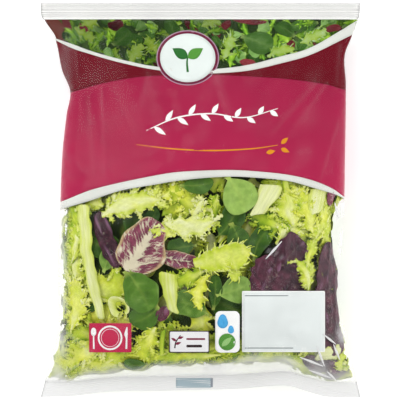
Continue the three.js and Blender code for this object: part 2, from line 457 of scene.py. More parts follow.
def lay(leaf, place):
    """The leaf's points, bent to follow the film at its place."""
    turn = math.radians(place.angle)
    along, across, up = np.moveaxis(leaf.points, -1, 0)
    dx = along * math.cos(turn) - across * math.sin(turn)
    dy = along * math.sin(turn) + across * math.cos(turn)
    y = place.y + dy
    end = leaves_end(place.round_bag - dx / girth_at(y))
    y = end + 3 * np.logaddexp(0, (y - end) / 3)
    y = place.top - 0.5 * np.logaddexp(0, (place.top - y) / 0.5)
    round_bag = place.round_bag - dx / girth_at(y)
    depth = place.least + place.soft * np.logaddexp(0, (place.depth - up - place.least) / place.soft)
    depth = place.most - place.soft * np.logaddexp(0, (place.most - depth) / place.soft)
    return inside(round_bag, y, np.hypot(depth, slack(round_bag, y)))


def grid_normals(points):
    """The way that a grid's first face looks, at each of its points."""
    along = np.gradient(points, axis=0)
    across = np.gradient(points, axis=1)
    normals = np.cross(across, along)
    return normals / np.maximum(np.linalg.norm(normals, axis=-1, keepdims=True), 1e-9)


def grid_faces(rows, columns, ring=False):
    """The four-sided faces of a grid, closed on itself if it is a ring."""
    i, j = np.meshgrid(np.arange(rows - 1), np.arange(columns - (not ring)), indexing="ij")
    a = i * columns + j
    b = i * columns + (j + 1) % columns
    return np.stack([a, b, b + columns, a + columns], axis=-1).reshape(-1, 4)


def rim_faces(loop, offset):
    """The faces between a loop of points and the same loop further on in the list."""
    after = np.roll(loop, -1)
    return np.stack([after, loop, loop + offset, after + offset], axis=-1)


def edge_loop(rows, columns):
    """The points round a grid's edge, in the order that its faces run."""
    grid = np.arange(rows * columns).reshape(rows, columns)
    return np.concatenate([grid[0], grid[1:, -1], grid[-1, -2::-1], grid[-2:0:-1, 0]])


class Heap:
    """Thin closed solids joined into one mesh."""

    def __init__(self):
        self.points, self.faces, self.colours, self.veins = [], [], [], []
        self.count = 0

    def add(self, points, blocks, colours, veins=None):
        """Points and blocks of faces, each block of triangles or of four-sided faces."""
        self.points.append(points)
        for faces in blocks:
            self.faces += (np.asarray(faces) + self.count).tolist()
        self.colours.append(colours)
        self.veins.append(np.zeros((len(points), 3)) if veins is None else veins)
        self.count += len(points)

    def add_sheet(self, points, thickness, colours, veins=None, ring=False):
        """A sheet as a thin solid: two faces a thickness apart, and the rim between them."""
        rows, columns = points.shape[:2]
        if ring:
            wrapped = np.concatenate([points[:, -1:], points, points[:, :1]], axis=1)
            normals = grid_normals(wrapped)[:, 1:-1]
        else:
            normals = grid_normals(points)
        half = normals * (np.broadcast_to(thickness, (rows, columns)) / 2)[..., None]
        both = np.concatenate([(points + half).reshape(-1, 3), (points - half).reshape(-1, 3)])
        offset = rows * columns
        top = grid_faces(rows, columns, ring)
        if ring:
            first = np.arange(columns)
            last = (first + (rows - 1) * columns)[::-1]
            rims = [rim_faces(first, offset), rim_faces(last, offset)]
        else:
            rims = [rim_faces(edge_loop(rows, columns), offset)]
        blocks = [top, top[:, [0, 3, 2, 1]] + offset, *rims]
        colours = np.broadcast_to(colours, (rows, columns, 3)).reshape(-1, 3)
        veins = np.zeros((offset, 3)) if veins is None else veins.reshape(-1, 3)
        self.add(both, blocks, np.tile(colours, (2, 1)), np.tile(veins, (2, 1)))

    def add_leaf(self, sheets, place):
        """A leaf's sheets, laid at its place."""
        for leaf in sheets:
            self.add_sheet(lay(leaf, place), leaf.thickness, leaf.colour, leaf.veins)

    def piece(self, name, material, slot_name):
        """One object of everything that was added."""
        points = np.concatenate(self.points) * MM
        mesh = bpy.data.meshes.new(name)
        mesh.from_pydata(points.tolist(), [], self.faces)
        colours = np.ones((len(points), 4))
        colours[:, :3] = np.concatenate(self.colours)
        attribute = mesh.color_attributes.new("shade", "FLOAT_COLOR", "POINT")
        attribute.data.foreach_set("color", colours.ravel())
        veins = mesh.attributes.new("veins", "FLOAT_VECTOR", "POINT")
        veins.data.foreach_set("vector", np.concatenate(self.veins).ravel())
        mesh.polygons.foreach_set("use_smooth", np.ones(len(mesh.polygons), dtype=bool))
        mesh.materials.append(material)
        return add_piece(name, mesh)


def add_piece(name, mesh):
    """An object that stands for the bag's solid and rides on its body."""
    piece = bpy.data.objects.new(name, mesh)
    bpy.context.scene.collection.objects.link(piece)
    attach(piece, "root")
    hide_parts(NODE)
    return piece


def paint(red, green, blue):
    """A colour as seen on a screen, 0 to 255, in the linear numbers that light uses."""
    shown = np.array([red, green, blue]) / 255
    return np.where(shown <= 0.04045, shown / 12.92, ((shown + 0.055) / 1.055) ** 2.4)


def ramp(colours, at):
    """A colour for each place from 0 to 1 along an even row of colours."""
    colours = np.array(colours)
    places = np.linspace(0, 1, len(colours))
    at = np.clip(at, 0, 1)
    return np.stack([np.interp(at, places, colours[:, k]) for k in range(3)], axis=-1)


# Colours of the leaves
CREAM = paint(225, 229, 172)
PALE = paint(210, 220, 110)
LIME = paint(187, 206, 58)
GRASS = paint(134, 168, 36)
MOSS = paint(74, 108, 24)
CURLY_RAMP = [CREAM, PALE, LIME, GRASS, MOSS]
GOLD_RAMP = [CREAM, paint(234, 236, 130), paint(220, 224, 72), paint(178, 186, 40), paint(108, 118, 24)]
DARK_GREEN = paint(44, 76, 24)
MID_GREEN = paint(84, 124, 42)
SOFT_GREEN = paint(152, 184, 90)
ROUND_RAMP = [DARK_GREEN, MID_GREEN, SOFT_GREEN]
PURPLE = paint(46, 22, 32)
PLUM = paint(92, 46, 62)
WINE = paint(130, 58, 80)
# A painted sheen for the crests of the purple leaves' folds
PAINTED_SHEEN_VIOLET = paint(150, 106, 136)
RED_RAMP = [PURPLE, PLUM, WINE]
TAN = paint(190, 166, 120)


def uneven(rng, x, y, waves, shortest, longest):
    """Ripples of their own for each leaf."""
    return ripples(x, y, int(rng.integers(1_000_000)), waves, shortest, longest)


def zigzag(turns):
    """0 at whole turns and 1 halfway between them, in straight lines."""
    return 1 - np.abs(2 * (turns % 1) - 1)


def leaf_middle(s, length, bow):
    """The line of a leaf's rib: along and across, for shares s of its length."""
    return (s - 0.5) * length, bow * (4 * (s - 0.5) ** 2 - 0.5)


def sheet(along, across, up, thickness, colour, veins):
    """A leaf's grid from its coordinates, each a number or an array."""
    points = np.stack(np.broadcast_arrays(along, across, up), axis=-1)
    veins = np.stack(np.broadcast_arrays(*veins), axis=-1)
    return Leaf(points, np.broadcast_to(thickness, points.shape[:2]), colour, veins)


def shares(rows, columns):
    """The grid of a leaf: shares of its length from the stalk, and -1 at one edge to 1 at the other."""
    return np.linspace(0, 1, rows)[:, None], np.linspace(-1, 1, columns)[None, :]


def curly_colour(tone, gold):
    """The colour of a curly leaf: cream to green by tone, and green to golden by gold."""
    gold = np.clip(np.broadcast_to(gold, tone.shape), 0, 1)
    return mix(ramp(CURLY_RAMP, tone), ramp(GOLD_RAMP, tone), gold)


def lobe_sheet(rng, start, heading, length, half, side, tone, gold, curl, tooth=1.4, point=0.25):
    """One cut lobe of a curly leaf: a narrow toothed strip that bends and twists as it goes."""
    rows = max(int(length / 1.05), 5)
    t = np.linspace(0, 1, rows)
    turn = heading + side * rng.uniform(-0.9, 0.5) * t**1.5
    step = length / (rows - 1)
    along = start[0] + np.append(0, np.cumsum(np.cos(turn[1:]))) * step
    across = start[1] + np.append(0, np.cumsum(np.sin(turn[1:]))) * step
    swing = rng.uniform(0.6, 1.4) * 2 * math.pi
    rise = start[2] + curl * t**1.2 * np.sin(swing * t + rng.uniform(0, 6.3))
    rise = rise + rng.uniform(-0.2, 0.5) * curl * t
    roll = rng.uniform(-0.7, 0.7) + rng.uniform(-1.3, 1.3) * t
    outline = half * (0.5 + 0.5 * np.sin(np.pi * t**0.7)) * np.clip(1.04 - t, 0, 1) ** point
    v = np.array([-1.0, 0.0, 1.0])[None, :]
    out = np.abs(v)
    t, turn, roll, along, across, rise, outline, odd = (
        line[:, None] for line in (t, turn, roll, along, across, rise, outline, np.arange(rows) % 2)
    )
    jut = tooth * rng.uniform(0.6, 1.3) * odd * out * np.minimum(1, 3 * t)
    reach = v * outline + v * jut
    flat = reach * np.cos(roll)
    along = along + 0.5 * jut * np.cos(turn) - flat * np.sin(turn)
    across = across + 0.5 * jut * np.sin(turn) + flat * np.cos(turn)
    up = rise + reach * np.sin(roll) + 0.21 * curl * out * (odd - 0.5)
    shade = tone + 0.22 * t - 0.3 * (1 - out) * (1 - 0.7 * t) - 0.1 * odd * out
    shade = shade + 0.08 * uneven(rng, along, across, 4, 2, 7)
    return sheet(along, across, up, 0.35, curly_colour(shade, gold), (along, across, 0 * up))


# Where a curly blade is cut across, closer together at its edges
BLADE_COLUMNS = np.array([-1, -0.88, -0.68, -0.42, -0.16, 0.16, 0.42, 0.68, 0.88, 1])


def blade_sheet(rng, length, width, ripe, gold, heart, cut, ruffle, tooth, step=1.0):
    """The blade of a curly leaf: pale at its heart, cut into pointed lobes, wavy and toothed at its edge."""
    rows = max(int(length / step), 9)
    s = np.linspace(0, 1, rows)[:, None]
    v = BLADE_COLUMNS[None, :]
    out, side = np.abs(v), (v > 0) * 1.0
    tip = np.sqrt(np.clip(1.03 - smooth_step((s - 0.66) / 0.34), 0, 1))
    envelope = (0.3 + 0.7 * smooth_step(s / 0.32)) * tip
    lobes = max(round(length / rng.uniform(8, 11)), 3)
    lobe = lobes * s + side * rng.uniform(0.3, 0.7)
    lobe = zigzag(lobe + 0.3 * uneven(rng, s * length, side * 50, 3, 14, 40))
    half = width / 2 * envelope * (1 - cut * (1 - lobe) * smooth_step((out - 0.3) / 0.6))
    half = half * (1 + 0.12 * uneven(rng, s * length, side * 40, 4, 7, 22))
    spike = tooth * (0.4 + 0.6 * lobe) * zigzag(s * length / 2.9 + side * 0.37)
    reach = out * half + spike * np.sqrt(envelope) * (out > 0.95)
    along, across = leaf_middle(s, length, rng.uniform(-0.14, 0.14) * length)
    swirl = 2 * np.pi * s * length / rng.uniform(12, 18) + side * rng.uniform(1, 5)
    finer = 2 * np.pi * s * length / rng.uniform(5, 8) + side * rng.uniform(1, 5)
    along = along + 0.45 * reach - 0.3 * half * out
    across = across + np.sign(v) * (reach - 0.35 * ruffle * out**2 * (1 - np.cos(swirl)))
    waves = out**1.5 * np.sin(swirl) + 0.25 * out**2.5 * np.sin(finer) + 0.3 * out**2 * (lobe - 0.5)
    up = ruffle * envelope * waves
    up = up + rng.uniform(-0.05, 0.09) * width * out**2 + 0.4 * uneven(rng, along, across, 5, 7, 18)
    rib = smooth_step((heart * (1.25 - s) - out) / 0.16 + 0.5)
    spoke = np.exp(-(((lobe - 1) / 0.22) ** 2)) * (1 - 0.6 * out) * (out > heart)
    tone = 0.3 + 0.4 * ripe + 0.18 * out * (0.5 + ripe) - (0.22 + 0.3 * ripe) * rib - 0.12 * spoke
    # Painted shade: darker in the notches between the lobes; and painted light and shade on the ruffles,
    # paler on their crests and darker in their troughs
    tone = tone + 0.14 * (1 - lobe) * smooth_step((out - 0.3) / 0.5) * (1 - rib) - 0.05 * np.sin(swirl) * out
    tone = tone + 0.07 * uneven(rng, along, across, 6, 5, 15)
    gold = gold + 0.25 * uneven(rng, along, across, 4, 8, 22)
    return sheet(along, across, up, 0.35 + 1.1 * rib, curly_colour(tone, gold), (along, across, 0 * up))


COARSE_STEP = 2.2  # rows this far apart do for a leaf that is mostly hidden, which has no fine teeth


def curly_leaf(
    rng, length, width, ripe, gold=0.25, heart=0.18, cut=0.45, ruffle=1.8, tooth=1.7, frills=(1.1, 1.1),
    step=1.0,
):
    """A piece of curly endive: a wavy blade, with frills and fine teeth at both its edges."""
    blade = blade_sheet(rng, length, width, ripe, gold, heart, cut, ruffle, tooth, step)
    sheets = [blade]
    rows = len(blade.points)
    for side, density in zip((-1, 1), frills):
        for _ in range(round(density * length / 4.4)):
            row = min(int(rows * (0.08 + 0.9 * rng.uniform(0, 1))), rows - 2)
            along, across, up = blade.points[row, -2 if side > 0 else 1]
            heading = side * math.radians(rng.uniform(25, 100))
            reach = rng.uniform(5, 11) * min(1, width / 17)
            tone = 0.26 + 0.42 * ripe + rng.uniform(-0.14, 0.18)
            start = (along, across - side * 0.8, up)
            half = rng.uniform(0.6, 1.7)
            frill_gold = gold + rng.uniform(-0.2, 0.3)
            sheets.append(lobe_sheet(rng, start, heading, reach, half, side, tone, frill_gold, 0.7 * ruffle))
    if step < COARSE_STEP:
        sheets += edge_spikes(rng, blade, round(length / 3), (2.5, 5), 0.26 + 0.42 * ripe, gold, 0.5 * ruffle)
    return sheets


def edge_spikes(rng, blade, spikes, reaches, tone, gold, curl):
    """Long thin teeth at both edges of a blade, most of them leaning to its tip."""
    sheets = []
    rows = len(blade.points)
    for side, column in ((-1, 0), (1, -1)):
        for k in range(spikes):
            row = min(int(rows * (0.06 + 0.92 * (k + rng.uniform(0, 1)) / spikes)), rows - 1)
            along, across, up = blade.points[row, column]
            heading = side * math.radians(rng.uniform(50, 125) - 70 * row / rows)
            start = (along - 1.2 * math.cos(heading), across - 1.2 * math.sin(heading), up)
            reach, half = rng.uniform(*reaches), rng.uniform(0.5, 0.9)
            shade = tone + rng.uniform(-0.1, 0.1)
            sheets.append(lobe_sheet(rng, start, heading, reach, half, side, shade, gold, curl, 0.3, 0.9))
    return sheets


def toothed_leaf(
    rng, length, width, ripe, gold=0.2, cut=0.5, ruffle=1.2, tooth=1.8, spikes=7, reaches=(2.8, 6.5),
    step=0.8,
):
    """A flat piece of curly leaf with long thin teeth round its edge."""
    blade = blade_sheet(rng, length, width, ripe, gold, 0.12, cut, ruffle, tooth, step)
    return [blade] + edge_spikes(rng, blade, spikes, reaches, 0.3 + 0.4 * ripe, gold, ruffle)


def round_leaf(rng, length, width, light=0.2, cup=0.1, rows=32, columns=13):
    """A lamb's lettuce leaf: a spoon with a narrow stalk, a smooth edge and one soft rib."""
    s, v = shares(rows, columns)
    out = np.abs(v)
    blade = np.clip((s - 0.08) / 0.92, 0, 1)
    spoon = np.sqrt(np.clip(1 - (2 * blade**1.3 - 1) ** 2, 0, 1))
    half = width / 2 * np.maximum(spoon, rng.uniform(0.12, 0.2) * (1 - s) + 0.03)
    along, across = leaf_middle(s, length, rng.uniform(-0.12, 0.12) * length)
    across = across + v * half + 0.04 * width * uneven(rng, along, 0 * s, 3, 9, 20) * v
    up = cup * width * (out**2 - 0.3) * (half / width * 2) - 0.5 * (1 - out) * (half / width)
    up = up + 0.8 * uneven(rng, along, across, 4, 10, 26)
    rib = np.exp(-((out / 0.1) ** 2)) * (1 - 0.8 * s)
    mottle = 0.09 * uneven(rng, along, across, 6, 6, 18)
    vein = zigzag((s * length - 0.45 * out * half) / 6.2 + 0.5 * (v > 0))
    veins = smooth_step((vein - 0.55) / 0.4) * (1 - out) * (out > 0.05)
    # The rim is painted lighter: a painted highlight along the leaf's edge
    tone = light + mottle + 0.12 * rib + 0.14 * veins + 0.1 * (out > 0.9) + 0.4 * np.clip(0.25 - s, 0, 1)
    pale = 0.14 * rib + 0.5 * np.clip(0.16 - s, 0, 0.16) / 0.16
    colour = mix(ramp(ROUND_RAMP, tone), PALE, pale)
    return [sheet(along, across, up, 0.4 + 0.4 * rib, colour, (along, across, 0 * up))]


def red_leaf(rng, length, width, wine=0.2, crisp=1.4, pale=0.35, blunt=2.4, midrib=0.2, rows=30, columns=15):
    """A red chicory leaf: broad and crisp, with a white rib whose branches run out to a tan rim."""
    s, v = shares(rows, columns)
    out, side = np.abs(v), np.sign(v)
    blade = np.clip(1 - np.abs(2 * s**0.8 - 1) ** blunt, 0, 1) ** 0.5
    edge = 0.09 * uneven(rng, s * length, side * 40, 6, 4, 19)
    half = width / 2 * np.maximum(blade * (1 + edge * out), 0.16 * (1 - s) + 0.03)
    along, across = leaf_middle(s, length, rng.uniform(-0.1, 0.1) * length)
    along = along + 0.16 * out * half
    across = across + v * half
    up = crisp * out**1.5 * uneven(rng, s * length, side * 25, 4, 11, 30)
    folds = uneven(rng, 0.3 * along, across, 5, 4, 9)
    up = up + 0.8 * uneven(rng, along, across, 6, 6, 15) + (0.5 if pale > 0.4 else 1.0) * folds
    mottle = uneven(rng, along, across, 6, 5, 17)
    rib = np.exp(-((out / (midrib * (1.15 - s))) ** 2))
    run = s * length - 0.7 * out * half + 0.8 * uneven(rng, along, across, 4, 6, 15)
    branch = zigzag(run / rng.uniform(6.5, 9) + 0.5 * (side > 0))
    branches = smooth_step((branch - 0.72) / 0.22) * (1 - 0.5 * out)
    streaks = uneven(rng, run, side * 30, 7, 1.8, 4.5)
    colour = ramp(RED_RAMP, wine + 0.14 * mottle + 0.1 * out + 0.1 * streaks)
    # Painted sheen: violet on the crests of the folds, where a glossy purple leaf catches the light
    colour = mix(colour, PAINTED_SHEEN_VIOLET, (0.55 - 0.5 * min(pale, 1)) * smooth_step((folds - 0.8) / 0.8))
    colour = mix(colour, TAN, min(1, 1.2 * pale) * smooth_step((out - 0.82) / 0.14) * (pale > 0.4))
    whiteness = pale * (0.5 + 0.34 * streaks + 0.3 * mottle + 1.4 * np.clip(0.3 - s, 0, 1))
    whiteness = whiteness + (pale + 0.14) * (0.9 * rib + 0.6 * branches)
    return [sheet(along, across, up, 0.45 + 1.0 * rib, colour, (along, across, whiteness))]


def pale_rib(rng, length, width, green=0.15, rows=36, frill=0.4, taper=0.8, bend=0.06):
    """A cut piece of a curly leaf's rib: flat, streaked along its length, thin at its torn sides."""
    s, v = shares(rows, 17)
    out = np.abs(v)
    teeth = zigzag(s * length / 3.1 + (v > 0) * 0.4)
    wide = taper + (1 - taper) * s + 0.1 * uneven(rng, s * length, np.sign(v) * 30, 4, 8, 24)
    ends = np.sqrt(np.clip(np.minimum(s, 1 - s) / 0.03, 0.5, 1))
    half = width / 2 * wide * ends + frill * teeth * (out > 0.95) * 2
    along, across = leaf_middle(s, length, rng.uniform(-bend, bend) * length)
    slant = rng.uniform(-0.25, 0.25) * width
    along = along + slant * v * np.abs(2 * s - 1)
    across = across + v * half
    up = 0.05 * width * (1 - out**2) + 0.1 * width * rng.uniform(-0.5, 1) * v * (s - 0.3)
    up = up + 0.02 * width * uneven(rng, along * 0.2, across, 5, 2, 6)
    streak = 0.06 * uneven(rng, along * 0.06, across, 6, 1.4, 5)
    tone = green + streak + 0.22 * smooth_step((out - 0.5) / 0.5) + 0.12 * (s - 0.5)
    tone = tone + 0.05 * uneven(rng, along, across, 4, 9, 20)
    thickness = 0.5 + min(0.1 * width, 1.2) * np.exp(-((out / 0.6) ** 2))
    return [sheet(along, across, up, thickness, ramp(CURLY_RAMP, tone), (along, across, 0 * up))]


def curled_rib(rng, length, width, green=0.1, rows=44):
    """The cut end of a hollow rib: a pale ring that is open at one side and deeper towards its middle."""
    turn = np.linspace(-0.2, 2 * math.pi - 1.1, rows)[:, None]
    v = np.linspace(0, 1, 9)[None, :]
    radius = (0.5 + 0.5 * v) * (1 + 0.1 * uneven(rng, turn * width / 2, 0 * turn, 4, 6, 18))
    along = length / 2 * np.cos(turn) * radius
    across = width / 2 * np.sin(turn) * radius
    up = 1.2 - 3.5 * (1 - v) ** 1.5 + 0.2 * uneven(rng, along, across, 4, 3, 9)
    tone = green + 0.3 * (1 - v) + 0.06 * uneven(rng, along, across, 5, 3, 9)
    return [sheet(along, across, up, 0.6, ramp(CURLY_RAMP, tone), (along, across, 0 * up))]


MAKERS = {
    "curly": curly_leaf, "toothed": toothed_leaf, "round": round_leaf, "red": red_leaf, "rib": pale_rib,
    "curl": curled_rib,
}
SHARED_HEAPS = {"toothed": "curly", "curl": "rib"}  # kinds that are joined into another kind's mesh

# Leaves that lie against the front: kind, seen middle, length, width, way of the tip, layer, looks
FRONT_LEAVES = [
    # Along the left side
    ("rib", -88, -48, 88, 12, 99, 0, dict(green=0.1, frill=0.25, taper=0.55)),
    ("curly", -102, -25, 48, 17, 93, 1, dict(ripe=0.6, gold=0, ruffle=1.8)),
    ("curly", -88, 0, 22, 16, 150, 2, dict(ripe=0.3)),
    ("red", -75, -31, 46, 14, -67, 1, dict(wine=0.1, pale=0.07)),
    ("round", -74, -45, 25, 14, 62, 2, dict(light=0.62)),
    ("curly", -101, -54, 38, 18, 85, 2, dict(ripe=0.1, heart=0.4, ruffle=1.8)),
    ("curly", -100, -81, 42, 20, 78, 1, dict(ripe=0.15, gold=0.65)),
    ("curly", -75, -68, 34, 24, 20, 2, dict(ripe=0.35, gold=0.3, cut=0.25, ruffle=1.6, frills=(0.8, 0.8))),
    ("curly", -96, -106, 34, 18, 170, 2, dict(ripe=0.6, gold=0.1)),
    ("curly", -96, -121, 52, 20, 197, 1, dict(ripe=0.12, gold=0.5)),
    ("curly", -68, -98, 30, 18, 10, 2, dict(ripe=0.2, gold=0.6)),
    ("curly", -102, -50, 96, 30, 88, 3, dict(ripe=0.4, cut=0.15, ruffle=1.4, frills=(0.2, 0.2))),
    ("curly", -100, -33, 30, 13, 80, 1, dict(ripe=0.2, heart=0.4, cut=0.2, ruffle=1.2, frills=(0.4, 0.4))),
    ("curly", -106, -24, 54, 14, 91, 2, dict(ripe=0.5, cut=0.3, ruffle=1.4, frills=(0.5, 0.5))),
    ("curly", -106, -74, 60, 14, 92, 2, dict(ripe=0.4, cut=0.3, ruffle=1.4, frills=(0.5, 0.5))),
    # Under the header's left part
    ("curly", -56, -4, 48, 19, 14, 1, dict(ripe=0.05, heart=0.6, cut=0.3, frills=(0.6, 1.8))),
    ("round", -52, -25, 47, 16, 44, 3, dict(light=0.02)),
    ("red", -46, -36, 44, 36, 60, 0, dict(wine=0.9, pale=0.85, crisp=1.0, midrib=0.3, rows=56, columns=41)),
    ("red", -18, -46, 30, 13, -10, 1, dict(wine=0.8, pale=0.6)),
    ("curly", -26, -24, 15, 13, 140, 0, dict(ripe=0.05, heart=0)),
    ("curly", -8, -19, 38, 15, 3, 0,
        dict(ripe=-0.3, gold=0.1, heart=0.8, cut=0.15, ruffle=1.4, tooth=1, frills=(0.4, 0.6))),
    ("curly", -2, -8, 20, 9, 70, 1, dict(ripe=-0.25, heart=0.7, frills=(1, 1))),
    ("curly", -8, 0, 38, 21, 150, 2, dict(ripe=0.65, gold=0.5, cut=0.35)),
    ("curly", -20, 8, 26, 15, 30, 2, dict(ripe=0.4, gold=0.8)),
    ("round", -3, 12, 26, 13, 5, 1, dict(light=0.3)),
    ("round", -15, -37, 23, 16, 190, 2, dict(light=0.12)),
    ("curly", 8, -8, 26, 14, 240, 2, dict(ripe=0.6, gold=0)),
    # Under the header's right part
    ("round", 29, 5, 31, 26, -60, 0, dict(light=0.95)),
    ("round", 23, -16, 32, 19, 60, 2, dict(light=0.12)),
    ("round", 29, -31, 28, 19, -70, 2, dict(light=0.18)),
    ("toothed", 17, -45, 44, 21, 12, 0,
        dict(ripe=0.08, spikes=17, cut=0.12, ruffle=0.3, tooth=0.5, reaches=(3, 7))),
    ("rib", 50, 0, 25, 17, 63, 0, dict(green=-0.03, frill=0.1, taper=0.55)),
    ("curly", 54, -14, 34, 18, 150, 2, dict(ripe=1.0, gold=0)),
    ("round", 48, -34, 28, 17, 70, 2, dict(light=0.12)),
    ("curly", 66, -4, 44, 17, 100, 2, dict(ripe=0.5, gold=0.1)),
    ("curly", 72, -20, 34, 19, 60, 2, dict(ripe=0.05, gold=0.1, heart=0.5)),
    ("curly", 85, -9, 40, 18, 112, 1, dict(ripe=0.35, gold=0.5)),
    ("curly", 84, 6, 44, 18, 10, 3, dict(ripe=0.5, gold=0.2)),
    ("curly", 60, 4, 40, 18, 170, 3, dict(ripe=0.6, gold=0.1)),
    ("rib", 71, -2, 38, 5, 103, 1, dict(green=0.3, frill=0.3)),
    ("rib", 94, 0, 20, 18, 80, 1, dict(green=0.08)),
    ("red", 103, 1, 11, 9, 80, 0, dict(wine=1.0, pale=0.3)),
    ("curly", 97, -18, 30, 16, 75, 1, dict(ripe=0.2, gold=0.4)),
    ("curly", 80, -10, 62, 42, 98, 3, dict(ripe=0.5, cut=0.2, ruffle=1.6, frills=(0.3, 0.3))),
    ("curly", 72, -6, 26, 20, 95, 1, dict(ripe=0.1, heart=0.3, cut=0.2, ruffle=1.2, frills=(0.4, 0.4))),
    ("curly", 103, -34, 62, 17, 88, 2, dict(ripe=0.3, gold=0.3, cut=0.25, frills=(0.8, 0.8))),
    # Along the right side
    ("red", 69, -46, 36, 27, 54, 1, dict(wine=0.15, pale=0.05, blunt=9, rows=40, columns=29)),
    ("red", 55, -62, 36, 30, 78, 1, dict(wine=0.3, pale=0.05, blunt=5, rows=40, columns=29)),
    ("curly", 88, -42, 32, 9, 72, 0, dict(ripe=0.3, gold=0.2, frills=(0.6, 0.6))),
    ("curly", 82, -58, 27, 11, 120, 0, dict(ripe=0.2, gold=0.2, heart=0.3, frills=(0.6, 0.6))),
    ("red", 101, -77, 88, 27, 88, 0, dict(wine=0.2, pale=0.05, blunt=6, rows=80, columns=29)),
    ("red", 103, -92, 60, 24, 94, 1, dict(wine=0.2, pale=0.07, blunt=4)),
    # The middle, between the header and the labels
    ("round", -49, -70, 35, 28, -62, 0, dict(light=0.46)),
    ("round", -44, -90, 27, 19, 210, 1, dict(light=0.34)),
    ("rib", -24, -72, 30, 14, 95, 0, dict(green=0.16, frill=0.1, taper=0.5, bend=0.02)),
    ("red", -30, -88.5, 13, 9, 235, 1, dict(wine=0.5, pale=0.1)),
    ("curly", -9, -60, 27, 15, 200, 1, dict(ripe=0.5, gold=0)),
    ("round", -8, -83, 31, 21, 160, 2, dict(light=0.55)),
    ("toothed", 0, -71, 28, 13, 255, 0, dict(ripe=0.3, gold=0.8, spikes=5)),
    ("round", 11, -72, 27, 10, 85, 1, dict(light=0.1)),
    ("round", 26, -70, 28, 20, 20, 1, dict(light=0.74)),
    # Along the bottom
    ("curly", -42, -112, 32, 18, 250, 1, dict(ripe=0.45, gold=0.5)),
    ("rib", -30, -111, 22, 4, 86, 0, dict(green=0.55, frill=0.1)),
    ("round", -51, -128, 19, 12, 180, 0, dict(light=0.25)),
    ("curly", -91, -129, 54, 15, 190, 2, dict(ripe=0.15, gold=0.3)),
    ("curly", -12, -122, 56, 16, 183, 1, dict(ripe=0.6, gold=0.2)),
    ("curly", 44, -123, 46, 14, 2, 2, dict(ripe=0.25, gold=0.6)),
    ("curly", 48, -114, 60, 18, 8, 3, dict(ripe=0.5, gold=0.1)),
    ("curly", -12, -108, 50, 20, 165, 3, dict(ripe=0.6, gold=0.2)),
    ("red", 98, -131, 38, 17, 168, 1, dict(wine=0.15, pale=0.2)),
    ("rib", 101, -119, 19, 11, 8, 0, dict(green=-0.12)),
    ("curly", 112, -127, 20, 11, 80, 1, dict(ripe=0.3)),
    ("curl", -64, -83, 17, 15, -40, 0, dict(green=0.06)),
    ("red", 79, -62, 34, 22, 82, 2, dict(wine=0.1, pale=0.05, blunt=5)),
    # Under the gaps of the others
    ("toothed", 26, -56, 15, 8, -75, 0, dict(ripe=0.12, spikes=4, cut=0.1, ruffle=0.3, tooth=0.5)),
    ("curly", -82, -90, 44, 26, 150, 3, dict(ripe=0.4, gold=0.7, cut=0.15, ruffle=1.2, frills=(0.2, 0.2))),
]
NEAREST = 0.8  # depth of the leaves that touch the film
LAYER = 1.6  # depth from one layer of leaves to the next

BURIED_LEAVES = 78  # leaves under and beside the front ones, all round the bag
SIDE_LEAVES = 62  # leaves that lie against the film at the sides and the back
SCATTERED = ["curly", "round", "curly", "red", "round", "curly", "round", "rib"]
GOLDEN_TURN = 0.618034  # steps of this share of a turn never fall together
SPARSE = (0.42, 0.42)  # frills of a leaf that is mostly hidden
LEAF_SEED = 11


def front_place(kind, x, y, angle, layer):
    """A place in a layer under the front: smooth leaves keep to their layer, curly ones reach deeper."""
    round_bag, row = under(x, y)
    least = NEAREST + LAYER * layer
    most = least + (1.0 if kind in ("round", "red") else 5) * LAYER
    return Place(float(round_bag), float(row), angle, least + 0.9, least, most)


def random_leaf(rng, kind):
    """A leaf of a kind, of any likely size and colour."""
    if kind == "curly":
        gold = rng.uniform(-0.1, 0.7)
        size = rng.uniform(36, 56), rng.uniform(18, 28)
        return curly_leaf(rng, *size, rng.uniform(0.15, 0.8), gold, frills=SPARSE, step=COARSE_STEP)
    if kind == "round":
        size = rng.uniform(28, 46), rng.uniform(15, 23)
        return round_leaf(rng, *size, rng.uniform(0, 0.6), rows=14, columns=9)
    if kind == "red":
        return red_leaf(rng, rng.uniform(36, 60), rng.uniform(24, 38), rng.uniform(0.1, 0.7), rows=20)
    return pale_rib(rng, rng.uniform(26, 60), rng.uniform(8, 15), rng.uniform(0.04, 0.2), rows=16)


def scatter(heaps, rng, number, around, depths):
    """Leaves of mixed kinds, spread evenly over a stretch of the way round the bag."""
    start = rng.uniform(0, 1)
    for i in range(number):
        share = (start + i * GOLDEN_TURN) % 1
        y = LEAVES_END + 4 + (LEAVES_TOP + 18 - LEAVES_END) * ((i + rng.uniform(0, 1)) / number)
        kind = SCATTERED[int(rng.integers(len(SCATTERED)))]
        round_bag = around[0] + (around[1] - around[0]) * share
        at_back = 0.6 < round_bag < 0.92
        at_left_side = 0.44 < round_bag < 0.53
        low = y < leaves_end(round_bag) + 26
        if kind == "red" and not at_back or at_left_side or low:
            kind = "curly"
        place = Place(round_bag, y, rng.uniform(0, 360), rng.uniform(*depths), depths[0] - 0.4)
        heaps["buried" if kind == "curly" else kind].add_leaf(random_leaf(rng, kind), place)


EDGE_LEAVES = 34  # curly leaves in a row along the bottom, where the bag thins out, two thirds in front
LEFT_BOTTOM = 0.36  # share of the way round from which the bottom's leaves are lighter


